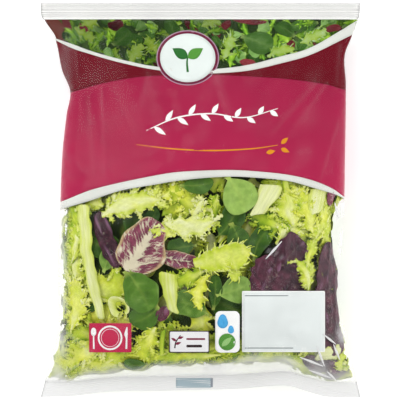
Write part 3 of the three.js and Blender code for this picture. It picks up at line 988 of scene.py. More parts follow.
def edge_leaves(heap, rng):
    """Curly leaves along the bottom, which hide the bag's middle where the others end."""
    for i in range(EDGE_LEAVES):
        round_bag = 0.02 + 0.46 * i / (EDGE_LEAVES - 1) if i % 3 else rng.uniform(0.52, 0.98)
        y = leaves_end(round_bag) + rng.uniform(7, 17)
        place = Place(round_bag, float(y), rng.uniform(-30, 30) + 180 * (i % 2), rng.uniform(4, 7), 3.2)
        ripe = rng.uniform(0.4, 0.9) - 0.25 * (round_bag > LEFT_BOTTOM)
        leaf = curly_leaf(rng, rng.uniform(34, 46), 22, ripe, 0.3, frills=SPARSE, step=COARSE_STEP)
        heap.add_leaf(leaf, place)


def add_leaves():
    """All the loose leaves: the front ones from their table, the others scattered round and under them."""
    heaps = {kind: Heap() for kind in ("curly", "round", "red", "rib", "buried")}
    rng = np.random.default_rng(LEAF_SEED)
    for kind, x, y, length, width, angle, layer, looks in FRONT_LEAVES:
        leaf = MAKERS[kind](rng, length, width, **looks)
        heaps[SHARED_HEAPS.get(kind, kind)].add_leaf(leaf, front_place(kind, x, y, angle, layer))
    scatter(heaps, rng, BURIED_LEAVES, (0, 1), (5.5, 12))
    scatter(heaps, rng, SIDE_LEAVES, (0.485, 1.015), (1.5, 5))
    edge_leaves(heaps["buried"], rng)
    curly = leaf_material("curly_leaf", 0.42, 1.5, 0.45, 0.1)
    heaps["curly"].piece("curly_leaves", curly, "curly_leaf")
    heaps["buried"].piece("buried_curly_leaves", curly, "curly_leaf")
    heaps["round"].piece("round_leaves", leaf_material("round_leaf", 0.36, 1.3, 0.3, 0.12), "round_leaf")
    heaps["red"].piece("red_leaves", red_material(), "red_leaf")
    heaps["rib"].piece("pale_ribs", leaf_material("pale_rib", 0.38, 9.0, 0.6, 0.1), "pale_rib")


CORE_ROWS = 60
CORE_COLUMNS = 120
CORE_DEPTH = 15
# Greens darker than the loose leaves' own: partly the deep leaves' colour, partly painted shade of the heap's
# depth
CORE_PAINTED_SHADE_RAMP = [paint(34, 52, 16), paint(70, 98, 30), paint(128, 148, 52)]


def add_core():
    """The leaves deep in the bag, as one dark uneven mass that the others lie on; its dark greens are partly
    painted shade.
    """
    rows = np.linspace(LEAVES_END, BODY_TOP - 30, CORE_ROWS)
    y, around = np.meshgrid(rows, np.arange(CORE_COLUMNS) / CORE_COLUMNS, indexing="ij")
    y = np.maximum(y, leaves_end(around) + 16 + 0.1 * (y - LEAVES_END))
    run = around * ROUND_SCALE
    lumps = ripples(run, y, 31, 9, 12, 30) + 0.6 * ripples(run, y, 32, 9, 5, 11)
    points = inside(around, y, np.hypot(CORE_DEPTH + 2.4 * lumps, slack(around, y)))
    tone = 0.4 + 0.3 * ripples(run, y, 33, 9, 6, 18)
    colours = ramp(CORE_PAINTED_SHADE_RAMP, tone).reshape(-1, 3)
    middles = [points[0].mean(axis=0), points[-1].mean(axis=0)]
    first = np.arange(CORE_COLUMNS)
    after = np.roll(first, -1)
    count = CORE_ROWS * CORE_COLUMNS
    last = count - CORE_COLUMNS
    near_fan = np.stack([first, after, np.full_like(first, count)], axis=-1)
    far_fan = np.stack([last + after, last + first, np.full_like(first, count + 1)], axis=-1)
    skin = grid_faces(CORE_ROWS, CORE_COLUMNS, ring=True)[:, ::-1]
    heap = Heap()
    everything = np.concatenate([points.reshape(-1, 3), middles])
    heap.add(everything, [skin, near_fan, far_fan], np.concatenate([colours, colours[:2]]), everything)
    heap.piece("inner_leaves", leaf_material("inner_leaf", 0.6), "curly_leaf")


# The header's print, as edges across the front: pairs of seen X and Y
SWOOSH_TOP = [
    (-124.5, 130), (-114.5, 126.1), (-99, 120.8), (-86, 116), (-70, 111.2), (-55, 107.5), (-39, 104.2),
    (-11, 101.4), (14, 101.9), (38, 105.1), (62, 111.4), (84, 117.7), (108, 131.1), (124, 141),
]
SWOOSH_BOTTOM = [
    (-124.5, 129.2), (-114.5, 124.9), (-99, 117.5), (-86, 113.3), (-70, 108.6), (-55, 104.9), (-39, 101.6),
    (-11, 98.2), (14, 98.4), (38, 100.5), (62, 105.9), (84, 112.1), (108, 123.4), (124, 131.5),
]
RED_BOTTOM = [
    (-124.5, 79.9), (-100, 83.8), (-78, 90), (-51, 95.1), (-31, 96.6), (-11, 96.9), (15, 96.9), (46, 95.4),
    (70, 93.6), (97, 89.8), (112, 85.6), (124, 84),
]
ARCH_TOP = [
    (-124.5, -7), (-106, -0.5), (-86.5, 7.3), (-63, 13.4), (-35, 19.1), (-19, 21.6), (3.5, 22.9),
    (23, 23.3), (38, 22.7), (68, 19.6), (88, 14.9), (103, 8.5), (110, 3.5), (124, -5.4),
]
ARCH_BOTTOM = [
    (-124.5, -13.2), (-106, -6.6), (-86.5, -0.8), (-63, 7), (-35, 12), (-19, 14.7), (3.5, 17.1),
    (23, 18.1), (38, 17.6), (68, 14.7), (88, 9.3), (103, 4.8), (110, 1.9), (124, -7),
]
WHITE_PRINT = paint(222, 224, 217)
CRIMSON = paint(176, 40, 79)
DEEP_CRIMSON = paint(162, 36, 72)
DARK_RED = paint(108, 18, 32)
SEAL_PRINT = paint(248, 248, 245)
SHADOW_GREEN = paint(38, 56, 26)
SHADOW_BROWN = paint(98, 52, 44)
LEAFY_LEFT = -105.0  # X where the printed leaves start
PRINT_DEPTH = 0.75  # depth of the printed leaves, and a little less of the flat fields
FIELD_DEPTH = 0.42
FIELD_SHEET = 0.1


def print_edge(curve, depth):
    """The Y, for each column round the bag, at which a printed edge runs."""
    around = np.arange(COLUMNS) / COLUMNS
    front = around <= 0.5
    row = np.full(COLUMNS, float(np.mean([pair[1] for pair in curve])))
    for _ in range(16):
        x, y = seen(inside(around, row, depth))
        row = np.clip(row + np.where(front, smooth_curve(curve, x) - y, 0), BOTTOM, TOP)
    ends = row[0], row[HALF_COLUMNS]
    back = np.linspace(ends[1], ends[0], HALF_COLUMNS + 1)[1:-1]
    row[HALF_COLUMNS + 1 :] = back
    return row


def print_field(heap, low, high, rows, depth, colour, far_colour=None, left_colour=None):
    """A printed field right round the bag, between two edges; it can fade to a second colour."""
    share = np.linspace(0, 1, rows)[:, None]
    y = low * (1 - share) + high * share
    around = np.broadcast_to(np.arange(COLUMNS) / COLUMNS, y.shape)
    far = colour if far_colour is None else far_colour
    colours = mix(colour, far, np.broadcast_to(share, y.shape))
    points = inside(around, y, depth)
    if left_colour is not None:
        colours = mix(colours, left_colour, smooth_step((LEAFY_LEFT + 1 - points[..., 0]) / 3))
    heap.add_sheet(points, FIELD_SHEET, colours, ring=True)


def add_header():
    """The header's fields of colour, from the white arch up to the top seal."""
    heap = Heap()
    edges = (ARCH_BOTTOM, ARCH_TOP, RED_BOTTOM, SWOOSH_BOTTOM, SWOOSH_TOP)
    arch_low, arch_high, red_low, swoosh_low, swoosh_high = (print_edge(edge, FIELD_DEPTH) for edge in edges)
    seal_low = np.full(COLUMNS, BODY_TOP - 1.6)
    seal_high = np.full(COLUMNS, TOP - 0.4)
    shadow_depth = PRINT_DEPTH + 0.5
    print_field(heap, arch_low, arch_high, 4, FIELD_DEPTH, WHITE_PRINT)
    print_field(heap, arch_high, red_low, 36, FIELD_DEPTH, CRIMSON, DEEP_CRIMSON)
    print_field(heap, red_low, np.maximum(swoosh_low, red_low + 0.4), 12, FIELD_DEPTH, DARK_RED)
    print_field(heap, swoosh_low, swoosh_high, 4, FIELD_DEPTH - 0.06, WHITE_PRINT)
    print_field(heap, swoosh_low - 1, seal_low + 2, 24, shadow_depth, SHADOW_GREEN, left_colour=SHADOW_BROWN)
    print_field(heap, seal_low, seal_high, 24, 0.2, SEAL_PRINT)
    heap.piece("header_fields", print_material("header_print"), "header_print")


MARK_DEPTH = 0.34  # the deepest mark; each one over it is INK nearer to the film
INK = 0.08
INK_SHEET = 0.02  # thickness of a printed shape
PRINTED_LEAVES = 395
PRINT_SEED = 5
PRINTED = "round toothed toothed round toothed round toothed toothed round toothed".split()
RED_EVERY = 19  # one printed leaf in so many is red
PRINT_TINTS = {"round": (0.76, 0.86, 1.2), "toothed": (0.7, 0.9, 1.3), "red": (0.88, 0.7, 0.44)}

# The larger leaves of the print: kind, seen middle, length, width, way of the tip, looks
LARGER_PRINTS = [
    ("red", -66, 136, 14, 8, 20, dict(wine=0.5, pale=0.1, rows=12, columns=9)),
    ("red", 38, 139, 28, 4.5, -6, dict(wine=0.9, pale=0.3, rows=16, columns=7)),
    ("red", 69, 119, 11, 7, 60, dict(wine=0.8, pale=0.3, rows=12, columns=9)),
    ("red", 103, 133, 13, 6, 10, dict(wine=0.9, pale=0.4, rows=12, columns=9)),
    ("round", -61, 126, 19, 14, 40, dict(light=0.4, rows=16)),
    ("round", 44, 123, 27, 18, -20, dict(light=0.5, rows=20)),
    ("round", 66, 132, 19, 12, 150, dict(light=0.3, rows=16)),
    ("round", -22, 133, 16, 12, 100, dict(light=0.4, rows=16)),
    ("toothed", -86, 138, 15, 9, 200, dict(ripe=0.35, spikes=4)),
    ("toothed", -90, 129, 16, 9, -30, dict(ripe=0.3, spikes=4)),
    ("toothed", -51, 114, 17, 12, 60, dict(ripe=0.3, spikes=5)),
    ("toothed", -38, 120, 16, 10, 130, dict(ripe=0.5, spikes=4)),
    ("toothed", 21, 119, 20, 10, 80, dict(ripe=0.15, spikes=6)),
    ("toothed", 8, 137, 16, 9, 10, dict(ripe=0.3, spikes=5)),
    ("toothed", 62, 115, 22, 9, 15, dict(ripe=0.2, spikes=6)),
    ("toothed", 88, 127, 22, 10, 30, dict(ripe=0.15, spikes=6)),
]


def printed_leaf(rng, kind, share, lit):
    """A small flat leaf of the print: dark among the first ones, light among the last."""
    if kind == "toothed":
        size = rng.uniform(8, 17), rng.uniform(4, 9)
        ripe = rng.uniform(0.6, 1.4)
        sheets = toothed_leaf(rng, *size, ripe, 0, 0.6, spikes=2, reaches=(1.5, 3.5), step=1.5)
    elif kind == "round":
        size = rng.uniform(8, 15), rng.uniform(6, 11)
        sheets = round_leaf(rng, *size, rng.uniform(0.1, 0.9), rows=8, columns=9)
    else:
        sheets = red_leaf(rng, rng.uniform(10, 18), rng.uniform(5, 8), 0.9, rows=10, columns=7)
    return flattened(sheets, kind, lit * (0.25 + 0.7 * share) * rng.uniform(0.7, 1.3))


def flattened(sheets, kind, bright):
    """Leaves made as thin as ink, in the print's duller colours."""
    for leaf in sheets:
        leaf.points[..., 2] = 0
        leaf.thickness = np.full(leaf.points.shape[:2], INK_SHEET)
        leaf.colour = leaf.colour * bright * np.array(PRINT_TINTS[kind])
    return sheets


def add_printed_leaves():
    """The leafy band of the print: small flat leaves laid over each other, right round the bag."""
    rng = np.random.default_rng(PRINT_SEED)
    heap = Heap()
    edge = print_edge(SWOOSH_TOP, FIELD_DEPTH)
    for i in range(PRINTED_LEAVES):
        share = i / PRINTED_LEAVES
        around = (i * GOLDEN_TURN + rng.uniform(-0.01, 0.01)) % 1
        low = edge[int(around * COLUMNS) % COLUMNS]
        y = low + 1 + (BODY_TOP - 2 - low) * rng.uniform(0, 1)
        if inside(np.array(around), np.array(y))[0] < LEAFY_LEFT - 1:
            continue
        right_front = 0.05 < around < 0.2
        kind = "red" if i % RED_EVERY == 7 else PRINTED[i % len(PRINTED)]
        leaf = printed_leaf(rng, kind, share, 1.5 if right_front else 0.88)
        depth = PRINT_DEPTH - 0.06 - 0.13 * share
        place = Place(around, y, rng.uniform(0, 360), depth, 0.1, soft=0.02, top=BODY_TOP - 0.5)
        heap.add_leaf(leaf, place)
    for k, (kind, x, y, length, width, angle, looks) in enumerate(LARGER_PRINTS):
        around, row = under(x, y)
        leaf = flattened(MAKERS[kind](rng, length, width, **looks), kind, 0.48 if x < 10 else 0.76)
        place = Place(float(around), float(row), angle, PRINT_DEPTH - 0.2 - 0.006 * k, 0.1, soft=0.02)
        heap.add_leaf(leaf, place)
    heap.piece("header_leaves", print_material("header_leaves"), "header_print")


def flat_patch(heap, x, y, depth, colour, ring=False):
    """A printed shape: a grid of seen X and Y, laid on the front just under the film."""
    around, row = under(x, y, depth)
    heap.add_sheet(inside(around, row, depth), INK_SHEET, colour, ring=ring)


def flat_disc(heap, x, y, inner, outer, depth, colour, stretch=1.0, drop=0.0):
    """A printed disc or ring, stretched across the bag or drawn out to a drop's point."""
    angle = np.linspace(0, 2 * math.pi, max(24, int(3 * outer)), endpoint=False)[None, :]
    rings = max(3, int((outer - inner) / 2.4))
    radius = np.linspace(outer, max(inner, 0.05), rings)[:, None]
    radius = radius * (1 + drop * np.maximum(np.sin(angle), 0) ** 5)
    grid = x + stretch * radius * np.cos(angle), y + radius * np.sin(angle)
    flat_patch(heap, *grid, depth, colour, ring=True)


def box_grid(x0, y0, x1, y1, corner=0.0, step=2.0):
    """A rectangle, with its corners rounded by drawing its rows in."""
    columns = max(int((x1 - x0) / step), 2) + 1
    rows = np.linspace(y0, y1, max(int((y1 - y0) / step), 2) + 1)
    if corner:
        turn = np.linspace(0, math.pi / 2, 6)
        low = y0 + corner * (1 - np.cos(turn))
        high = y1 - corner * (1 - np.cos(turn))
        rows = np.unique(np.concatenate([low, rows[(rows > low[-1]) & (rows < high[-1])], high]))
    near = np.clip(corner - np.minimum(rows - y0, y1 - rows), 0, corner)
    pull = corner - np.sqrt(np.maximum(corner**2 - near**2, 0))
    share = np.linspace(0, 1, columns)[None, :]
    x = (x0 + pull)[:, None] * (1 - share) + (x1 - pull)[:, None] * share
    return x, np.broadcast_to(rows[:, None], x.shape)


def stroke_grid(path, widths, steps=30):
    """A line of changing width through points."""
    path = np.array(path, dtype=float)
    t = np.linspace(0, len(path) - 1, steps)
    whole = [(k, value) for k, value in enumerate(path[:, 0])]
    high = [(k, value) for k, value in enumerate(path[:, 1])]
    x, y = smooth_curve(whole, t), smooth_curve(high, t)
    dx, dy = np.gradient(x), np.gradient(y)
    run = np.maximum(np.hypot(dx, dy), 1e-9)
    half = np.interp(np.linspace(0, 1, steps), np.linspace(0, 1, len(widths)), widths) / 2
    side = np.linspace(-1, 1, 3)[:, None]
    return x + side * half * dy / run, y - side * half * dx / run


def leaf_grid(x, y, length, width, angle, steps=14):
    """A simple pointed leaf that starts at x, y."""
    s = np.linspace(0, 1, steps)
    half = np.maximum(width / 2 * np.sin(np.pi * s**0.8), 0.06)
    v = np.linspace(-1, 1, 5)[:, None]
    along, across = s * length + 0 * v, -v * half
    turn = math.radians(angle)
    return (
        x + along * math.cos(turn) - across * math.sin(turn),
        y + along * math.sin(turn) + across * math.cos(turn),
    )


PURE_WHITE = paint(250, 250, 248)
RING_MAROON = paint(112, 36, 62)
LILAC = paint(176, 140, 160)
GOLD = paint(226, 150, 44)
LEAF_PRINT = paint(88, 150, 62)
DEEP_LEAF_PRINT = paint(50, 112, 52)


def add_header_marks():
    """The header's plain marks: a disc with a seedling, a drawn sprig, and a gold line and its leaves."""
    heap = Heap()
    disc_x, disc_y, wide = -9.9, 110.3, 1.14
    flat_disc(heap, disc_x, disc_y, 20.2, 21.4, MARK_DEPTH, LILAC, wide)
    flat_disc(heap, disc_x, disc_y, 18.6, 20.6, MARK_DEPTH - INK / 2, RING_MAROON, wide)
    flat_disc(heap, disc_x, disc_y, 0, 18.9, MARK_DEPTH - INK, paint(228, 236, 232), wide)
    stem = [(disc_x, disc_y - 11), (disc_x - 0.6, disc_y - 4), (disc_x, disc_y + 1)]
    flat_patch(heap, *stroke_grid(stem, [1.8, 1.4, 1.0]), MARK_DEPTH - 2 * INK, DEEP_LEAF_PRINT)
    flat_patch(heap, *leaf_grid(disc_x, disc_y, 14, 8, 32), MARK_DEPTH - 2.6 * INK, LEAF_PRINT)
    flat_patch(heap, *leaf_grid(disc_x, disc_y, 14, 8, 148), MARK_DEPTH - 2.6 * INK, DEEP_LEAF_PRINT)
    branch = [(-42, 54), (-18, 64), (8, 67), (34, 64), (60, 71)]
    flat_patch(heap, *stroke_grid(branch, [0.6, 1.2, 1.1, 0.9, 0.5], 60), MARK_DEPTH, PURE_WHITE)
    for k, x in enumerate(np.linspace(-36, 54, 11)):
        y = smooth_curve(branch, x)
        way = 58 if k % 2 else -34
        flat_patch(heap, *leaf_grid(x, y, 11 - 0.35 * k, 3.8, way), MARK_DEPTH - INK, PURE_WHITE)
    arc = [(-50, 43), (-20, 39.6), (10, 38.4), (40, 39.8), (60, 42.6)]
    flat_patch(heap, *stroke_grid(arc, [0.4, 1.0, 1.2, 1.0, 0.5], 50), MARK_DEPTH, GOLD)
    for x, y, way in [(51, 36.6, 12), (62.6, 43.6, 42), (62.4, 40, -24)]:
        flat_patch(heap, *leaf_grid(x, y, 7.2, 3.6, way, 10), MARK_DEPTH, GOLD)
    heap.piece("header_marks", print_material("header_marks"), "header_print")


LABEL_WHITE = paint(228, 234, 232)
LABEL_EDGE = paint(247, 249, 246)
BADGE_RED = paint(196, 50, 84)
SOFT_PINK = paint(246, 206, 216)
DROP_BLUE = paint(84, 172, 226)
RULE_GREY = paint(120, 128, 130)
MAROON_INK = paint(130, 44, 70)
DARK_INK = paint(60, 46, 48)
SEAL_BLUE = paint(164, 182, 190)
SEAL_GREY = paint(150, 156, 164)
# The labels' panels, rules and bars: x0, y0, x1, y1, corner, step, inks over the deepest one, colour
PANELS = [
    (32.2, -118, 96.6, -70.6, 0.8, 2, 0, LABEL_EDGE),
    (33.2, -117, 95.6, -71.6, 0.6, 2, 1, LABEL_WHITE),
    (34.5, -74.6, 68, -74.0, 0, 1.5, 2, RULE_GREY),
    (34.5, -115.2, 72, -114.6, 0, 1.5, 2, RULE_GREY),
    (11.4, -118.4, 30.4, -86.2, 4, 2, 0, PURE_WHITE),
    (-24.6, -118.6, 7, -101.4, 1.2, 2, 0, DARK_INK),
    (-23.8, -117.8, 6.2, -102.2, 0.9, 2, 1, paint(240, 240, 240)),
    (-11, -108.6, 3.6, -107.2, 0.6, 1, 2, MAROON_INK),
    (-11, -114.4, 1.2, -112.4, 0.9, 1, 2, DARK_INK),
    (-86.5, -118.2, -53.6, -95.6, 0.3, 2, 0, BADGE_RED),
]


def add_labels():
    """The labels over the leaves: four bare or plainly marked panels."""
    heap = Heap()
    for *corners, corner, step, inks, colour in PANELS:
        flat_patch(heap, *box_grid(*corners, corner, step), MARK_DEPTH - inks * INK, colour)
    for add_marks in (add_drops, add_twig, add_place_setting):
        add_marks(heap, MARK_DEPTH - 2 * INK)
    heap.piece("labels", print_material("label_print"), "label_print")


def add_seal_mark():
    """The printed mark on the bottom seal, just outside the film."""
    heap = Heap()
    flat_patch(heap, *box_grid(-19, -145.6, 8, -138.2, 0.3), -0.1, SEAL_BLUE)
    flat_patch(heap, *box_grid(8, -145.2, 9.6, -138.2, 0.2, step=0.5), -0.12, SEAL_GREY)
    heap.piece("seal_mark", print_material("seal_mark"), "label_print")


def add_drops(heap, depth):
    """Two drops over a disc with a leaf on it."""
    for x, y, size in [(17.2, -95.4, 4.2), (23.6, -101.2, 2.4)]:
        flat_disc(heap, x, y, 0, size, depth, DROP_BLUE, drop=0.62)
    flat_disc(heap, 20.6, -110.2, 0, 6.6, depth, LEAF_PRINT)
    flat_patch(heap, *leaf_grid(16.6, -113.4, 10.6, 4.4, 42), depth - 0.7 * INK, paint(150, 196, 120))


def add_twig(heap, depth):
    """A twig with three leaves."""
    twig = [(-20, -115), (-19, -110), (-15.6, -105)]
    flat_patch(heap, *stroke_grid(twig, [1.1, 0.9, 0.6]), depth, DARK_INK)
    for x, y, way in [(-19.4, -112, 20), (-18.8, -109.4, 150), (-17.6, -107.4, 15)]:
        flat_patch(heap, *leaf_grid(x, y, 4.6, 2, way, 8), depth - 0.7 * INK, MAROON_INK)


def add_place_setting(heap, depth):
    """A plate ring between a spoon and a knife."""
    x, y = -70.2, -107
    flat_disc(heap, x, y, 8.2, 9.6, depth, PURE_WHITE)
    flat_disc(heap, x, y, 6.6, 7.1, depth, SOFT_PINK)
    flat_patch(heap, *stroke_grid([(x - 12.6, y - 8.6), (x - 12.8, y + 2)], [1.4, 1.0], 8), depth, PURE_WHITE)
    flat_disc(heap, x - 12.8, y + 4.6, 0, 3.4, depth - 0.7 * INK, PURE_WHITE, 0.62)
    knife = [(x + 12.6, y - 8.6), (x + 12.8, y - 1), (x + 12.4, y + 3), (x + 13.2, y + 8.4)]
    flat_patch(heap, *stroke_grid(knife, [1.5, 1.3, 2.8, 0.8], 24), depth, PURE_WHITE)


# Milky spots of the film: X and Y, how far they reach along both, and how milky they are
HAZE_SPOTS = [(109, -102, 4, 9, 0.4), (92, -126, 16, 9, 0.2)]


def film_haze_and_painted_light():
    """How milky the film is at each of its points: most in the seals and on sharp folds, where the milk is
    partly painted glints; a painted sheen also lies on the header's left facet and, fainter, on the creases
    higher up.
    """
    x, y = SKIN[..., 0], SKIN[..., 1]
    front = np.arange(COLUMNS) <= HALF_COLUMNS
    reach = leaves_end(np.arange(COLUMNS) / COLUMNS) + 8 + 5 * smooth_step((x - 10) / 40)
    low = smooth_step((reach - ROW_Y[:, None]) / 11) * (1 + 0.2 * ripples(x, y, 43, 7, 20, 50))
    low = low * (1 - 0.3 * smooth_step((x - 66) / 14))
    left = smooth_step((-99 - x) / 8) * (y < 0) * (1 + 0.4 * ripples(x, y, 44, 7, 8, 30))
    right = smooth_step((x - 102) / 8) * (y < 0) * (1 + 0.5 * ripples(x, y, 45, 7, 8, 30))
    pocket = 0.04 + 0.38 * smooth_step((y + 52) / 12)
    # A lighter band on the header's left facet: a painted sheen
    painted_facet_sheen = np.exp(-(((x + 104) / 5) ** 2)) * smooth_step((y - 76) / 8) * smooth_step((128 - y) / 8)
    haze_and_painted_light = 0.5 * low + 0.36 * left + pocket * right + 0.07 * painted_facet_sheen
    for spot_x, spot_y, wide, high, milk in HAZE_SPOTS:
        haze_and_painted_light = haze_and_painted_light + milk * np.exp(-(((x - spot_x) / wide) ** 2) - ((y - spot_y) / high) ** 2)
    # Along the creases: milky lines, partly whitened film and partly painted glints low on the bag, and a
    # fainter painted sheen higher up
    for start, end, _, half_width in CREASES:
        painted_crease_glint = np.abs(fold_depth((start, end, 1.0, 0.7 * half_width), x, y))
        haze_and_painted_light = haze_and_painted_light + np.where(y < -8, 0.2, 0.03) * painted_crease_glint
    edge = np.minimum(ROW_Y - BOTTOM, TOP - ROW_Y)[:, None]
    seal = smooth_step((SEAL_DEPTH + 1.0 - edge) / 2.0)
    haze_and_painted_light = front * haze_and_painted_light + np.where(y > 0, 0.42, 0.6) * seal
    return np.clip(haze_and_painted_light + 0.002 + 0.01 * np.maximum(ripples(x, y, 41, 9, 12, 46), 0), 0, 0.9)


def add_film():
    """The bag's film as one closed skin, with its haze, painted glints and painted sheen marked at each
    point.
    """
    heap = Heap()
    colours = np.repeat(film_haze_and_painted_light().reshape(-1, 1), 3, axis=1)
    last = (len(ROW_Y) - 1) * COLUMNS
    k = np.arange(1, HALF_COLUMNS - 1)
    near_end = np.stack([COLUMNS - k, COLUMNS - k - 1, k + 1, k], axis=-1)
    far_end = near_end[:, ::-1] + last
    far_left, far_right = HALF_COLUMNS, 0
    corners = np.array([
        [far_right, COLUMNS - 1, 1],
        [far_left + 1, far_left, far_left - 1],
        [last + far_right, last + 1, last + COLUMNS - 1],
        [last + far_left + 1, last + far_left - 1, last + far_left],
    ])
    skin = grid_faces(len(ROW_Y), COLUMNS, ring=True)[:, ::-1]
    heap.add(SKIN.reshape(-1, 3), [skin, near_end, far_end, corners], colours)
    heap.piece("film", film_material(), "clear_film")


# Sharp creases of the film, drawn as painted glints: white strips for the light they catch, partly the
# whitening of creased film. The ends of each, as seen X and Y
GLINTS = [
    ((77, -122), (95, -129)), ((95, -104), (105, -112)), ((90, -113), (96, -129)),
    ((84, -132), (101, -138)), ((98, -133), (105, -140)), ((103, -112), (108, -124)),
    ((104, -2), (107, -14)), ((50.5, -45.8), (63, -32)),
]
GLINT_HAZE = 0.86
FIN_HAZE = 0.1


def add_glints():
    """The sharp creases, as narrow milky strips just outside the film: painted glints, partly the whitening
    of creased film.
    """
    heap = Heap()
    for start, end in GLINTS:
        x, y = stroke_grid([start, end], [0.5, 1.9, 0.6], 14)
        around, row = under(x, y)
        heap.add_sheet(inside(around, row, -0.15), 0.12, GLINT_HAZE)
    heap.piece("film_painted_glints", film_material(), "clear_film")


def add_fin():
    """The back seam's fin, folded flat against the back."""
    heap = Heap()
    rows = np.linspace(BODY_BOTTOM - 6, BODY_TOP + 6, 150)
    across = np.linspace(FIN_X - FIN_WIDTH / 2, FIN_X + FIN_WIDTH / 2, 9)
    y, x = np.meshgrid(rows, across, indexing="ij")
    around = np.empty_like(x)
    for k, row in enumerate(rows):
        half = np.linspace(0.5, 1, 400)
        line = inside(half, np.full_like(half, row))
        around[k] = np.interp(x[k], line[:, 0], half)
    points = inside(around, y)
    points[..., 2] = np.maximum(points[..., 2] - FIN_SHEET / 2 + 0.05, FIN_SHEET / 2)
    heap.add_sheet(points, FIN_SHEET * 0.9, FIN_HAZE)
    heap.piece("back_fin", film_material(), "clear_film")


def node(tree, kind, settings=None, **inputs):
    """A shader node, with its inputs given as plain values or as other nodes' sockets."""
    made = tree.nodes.new(kind)
    for name, value in (settings or {}).items():
        setattr(made, name, value)
    for name, value in inputs.items():
        socket = made.inputs[int(name[1:])] if name[0] == "_" else made.inputs[name.replace("_", " ")]
        if isinstance(value, bpy.types.NodeSocket):
            tree.links.new(value, socket)
        else:
            socket.default_value = value
    return made


def new_material(name):
    """An empty material and its node tree."""
    material = bpy.data.materials.new(name)
    material.use_nodes = True
    material.node_tree.nodes.clear()
    return material, material.node_tree


def finish_material(material, tree, shader):
    """The material, with a shader on its surface."""
    output = tree.nodes.new("ShaderNodeOutputMaterial")
    tree.links.new(shader.outputs[0], output.inputs["Surface"])
    return material


def math_node(tree, operation, a, b=0.0, c=0.0):
    """The outcome of a sum with numbers or sockets."""
    return node(tree, "ShaderNodeMath", {"operation": operation}, _0=a, _1=b, _2=c).outputs[0]


def noise(tree, scale, detail=3.0, roughness=0.5, vector=None):
    """Noise from 0 to 1, over the object or over a vector."""
    place = vector or node(tree, "ShaderNodeTexCoord").outputs["Object"]
    made = node(tree, "ShaderNodeTexNoise", Vector=place, Scale=scale, Detail=detail, Roughness=roughness)
    return made.outputs["Fac"]


def attribute(tree, name, output):
    """What a mesh holds at each point under a name."""
    return node(tree, "ShaderNodeAttribute", {"attribute_name": name}).outputs[output]


def map_range(tree, value, low, high, to_low, to_high):
    """A value that runs from low to high, turned into one from to_low to to_high."""
    ends = dict(From_Min=low, From_Max=high, To_Min=to_low, To_Max=to_high)
    return node(tree, "ShaderNodeMapRange", {"clamp": True}, Value=value, **ends).outputs["Result"]


def times(tree, a, b):
    """The product of two vectors or colours."""
    return node(tree, "ShaderNodeVectorMath", {"operation": "MULTIPLY"}, _0=a, _1=b).outputs[0]


def scale_colour(tree, colour, by):
    """A colour, lighter or darker by a factor."""
    grey = node(tree, "ShaderNodeCombineXYZ", X=by, Y=by, Z=by)
    return times(tree, colour, grey.outputs[0])


def bump(tree, strength, distance, height):
    """Slopes of the surface from a height."""
    return node(tree, "ShaderNodeBump", Strength=strength, Distance=distance, Height=height).outputs[0]


def principled(material, tree, **inputs):
    """The material, finished with one Principled shader."""
    return finish_material(material, tree, node(tree, "ShaderNodeBsdfPrincipled", **inputs))


LEAF_GLOSS = 0.12  # far less than a bare leaf's, because the film in front has the gloss


def leaf_material(name, roughness, drawn=1.0, grain=0.4, contrast=0.1):
    """A leaf's skin: its own colour with a fine grain, drawn out along the leaf, and soft bumps."""
    material, tree = new_material(name)
    place = times(tree, attribute(tree, "veins", "Vector"), (1 / drawn, 1, 1))
    mottle = map_range(tree, noise(tree, grain, 3, vector=place), 0.3, 0.7, 1 - contrast, 1 + contrast)
    shade = scale_colour(tree, attribute(tree, "shade", "Color"), mottle)
    bumps = bump(tree, 0.3, 0.0004, noise(tree, 1.6 * grain, 2, vector=place))
    looks = dict(Base_Color=shade, Roughness=roughness, Specular_IOR_Level=LEAF_GLOSS, Normal=bumps)
    return principled(material, tree, **looks)


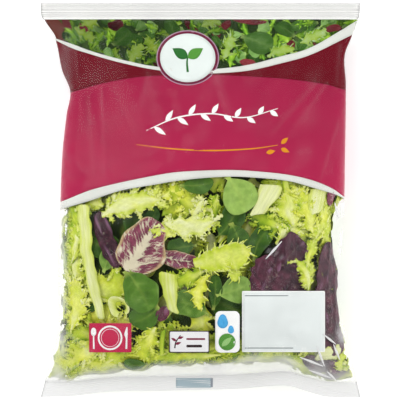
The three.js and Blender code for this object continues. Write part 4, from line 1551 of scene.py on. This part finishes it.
def red_material():
    """A red leaf's skin, with a white rib and side veins that thin out towards the edge."""
    material, tree = new_material("red_leaf")
    marks = attribute(tree, "veins", "Vector")
    along, across, whiteness = node(tree, "ShaderNodeSeparateXYZ", Vector=marks).outputs
    # The net of veins: cells drawn out across the leaf, with pale lines between them
    out = math_node(tree, "ABSOLUTE", across)
    run = math_node(tree, "MULTIPLY_ADD", out, -0.7, along)
    wander = node(tree, "ShaderNodeTexNoise", Vector=marks, Scale=0.3, Detail=2.0).outputs["Fac"]
    run = math_node(tree, "MULTIPLY_ADD", wander, 5.0, run)
    flat = node(tree, "ShaderNodeCombineXYZ", X=run, Y=math_node(tree, "MULTIPLY", across, 0.42)).outputs[0]
    net = node(tree, "ShaderNodeTexVoronoi", {"feature": "DISTANCE_TO_EDGE"}, Vector=flat, Scale=0.32)
    width = map_range(tree, whiteness, 0.0, 1.2, 0.01, 0.12)
    line = math_node(tree, "DIVIDE", net.outputs["Distance"], width)
    line = map_range(tree, line, 0.4, 1.3, 1.0, 0.0)
    strength = map_range(tree, whiteness, 0.08, 0.7, 0.0, 0.8)
    solid = map_range(tree, whiteness, 0.72, 1.1, 0.0, 0.95)
    pale = math_node(tree, "MAXIMUM", math_node(tree, "MULTIPLY", line, strength), solid)
    mottle = map_range(tree, noise(tree, 260, 4), 0.3, 0.72, 0.75, 1.35)
    shade = scale_colour(tree, attribute(tree, "shade", "Color"), mottle)
    cream = (*paint(222, 214, 184), 1)
    mixed = node(tree, "ShaderNodeMix", {"data_type": "RGBA"}, _0=pale, _6=shade, _7=cream).outputs[2]
    height = math_node(tree, "ADD", math_node(tree, "MULTIPLY", pale, 0.8), noise(tree, 700, 3))
    bumps = bump(tree, 0.8, 0.0006, height)
    looks = dict(Base_Color=mixed, Roughness=0.34, Specular_IOR_Level=2 * LEAF_GLOSS, Normal=bumps)
    return principled(material, tree, **looks)


def print_material(name):
    """Ink under the film: flat colour, very slightly uneven."""
    material, tree = new_material(name)
    even = map_range(tree, noise(tree, 30, 3), 0.3, 0.7, 0.96, 1.05)
    shade = scale_colour(tree, attribute(tree, "shade", "Color"), even)
    return principled(material, tree, Base_Color=shade, Roughness=0.6, Specular_IOR_Level=0.0)


FILM_GLOSS = 0.006  # share of light that the film mirrors when seen square on


def film_material():
    """Clear glossy film: what is behind it shows, under its gloss and a little haze; the haze also carries
    the painted glints and sheen.
    """
    material, tree = new_material("clear_film")
    # The haze marked on the mesh, with the painted glints and sheen in it
    haze_and_painted_light = attribute(tree, "shade", "Fac")
    crinkle = bump(tree, 0.25, 0.0006, noise(tree, 130, 3, 0.55))
    clear = node(tree, "ShaderNodeBsdfTransparent", Color=(1, 1, 1, 1))
    gloss = node(tree, "ShaderNodeBsdfGlossy", Color=(1, 1, 1, 1), Roughness=0.09, Normal=crinkle)
    # Thin film mirrors alike from both sides: least when seen square on, most when seen edge on
    slant = node(tree, "ShaderNodeLayerWeight", Blend=0.5, Normal=crinkle).outputs["Facing"]
    mirror = math_node(tree, "MULTIPLY_ADD", math_node(tree, "POWER", slant, 5.0), 1 - FILM_GLOSS, FILM_GLOSS)
    shiny = node(tree, "ShaderNodeMixShader", _0=mirror, _1=clear.outputs[0], _2=gloss.outputs[0])
    milk = node(tree, "ShaderNodeBsdfDiffuse", Color=(0.865, 0.865, 0.86, 1))
    shader = node(tree, "ShaderNodeMixShader", _0=haze_and_painted_light, _1=shiny.outputs[0], _2=milk.outputs[0])
    return finish_material(material, tree, shader)


FLOOR_REACH = 3.0  # metres from the bag to the floor's edges
FLOOR_PALE = (0.92, 0.92, 0.92, 1)


def add_floor():
    """A wide pale floor."""
    mesh = bpy.data.meshes.new("floor")
    corners = [(FLOOR_REACH * x, FLOOR_REACH * y, 0) for x, y in [(-1, -1), (1, -1), (1, 1), (-1, 1)]]
    mesh.from_pydata(corners, [], [(0, 1, 2, 3)])
    material, tree = new_material("floor")
    glow = dict(Emission_Color=FLOOR_PALE, Emission_Strength=0.42)
    mesh.materials.append(principled(material, tree, Base_Color=FLOOR_PALE, Roughness=0.9, **glow))
    floor = bpy.data.objects.new("floor", mesh)
    bpy.context.scene.collection.objects.link(floor)


def add_light(name, place, size, watts):
    """A soft lamp that shines on the bag."""
    light = bpy.data.lights.new(name, "AREA")
    light.shape = "RECTANGLE"
    light.size, light.size_y = size
    light.energy = watts
    lamp = bpy.data.objects.new(name, light)
    lamp.location = place
    lamp.rotation_euler = (-Vector(place)).to_track_quat("-Z", "Y").to_euler()
    bpy.context.scene.collection.objects.link(lamp)


def studio_world():
    """A pale room that is brighter towards its walls than overhead."""
    world = bpy.data.worlds.new("studio")
    world.use_nodes = True
    tree = world.node_tree
    way = node(tree, "ShaderNodeTexCoord").outputs["Generated"]
    up = node(tree, "ShaderNodeSeparateXYZ", Vector=way).outputs[2]
    tree.links.new(map_range(tree, up, 0.7, 0.92, 0.72, 0.2), tree.nodes["Background"].inputs["Strength"])
    tree.nodes["Background"].inputs["Color"].default_value = (1, 1, 1, 1)
    return world


def add_studio():
    """The room, its two lamps, and the camera straight above the bag."""
    scene = bpy.context.scene
    scene.view_settings.view_transform = "Standard"
    scene.view_settings.look = "None"
    scene.world = studio_world()
    add_light("key", (-1.5, 1.3, 1.9), (2.4, 2.4), 44)
    add_light("fill", (2.1, -0.6, 1.5), (2.4, 2.8), 34)
    camera = bpy.data.cameras.new("camera")
    camera.sensor_width = SENSOR
    camera.lens = SENSOR * (CAMERA_HEIGHT - SHARP_HEIGHT) / (PICTURE * PIXEL)
    eye = bpy.data.objects.new("camera", camera)
    eye.location = (CAMERA_X * MM, 0, CAMERA_HEIGHT * MM)
    scene.collection.objects.link(eye)
    scene.camera = eye


add_studio()
add_floor()
add_film()
add_glints()
add_fin()
add_header()
add_printed_leaves()
add_header_marks()
add_labels()
add_seal_mark()
add_core()
add_leaves()
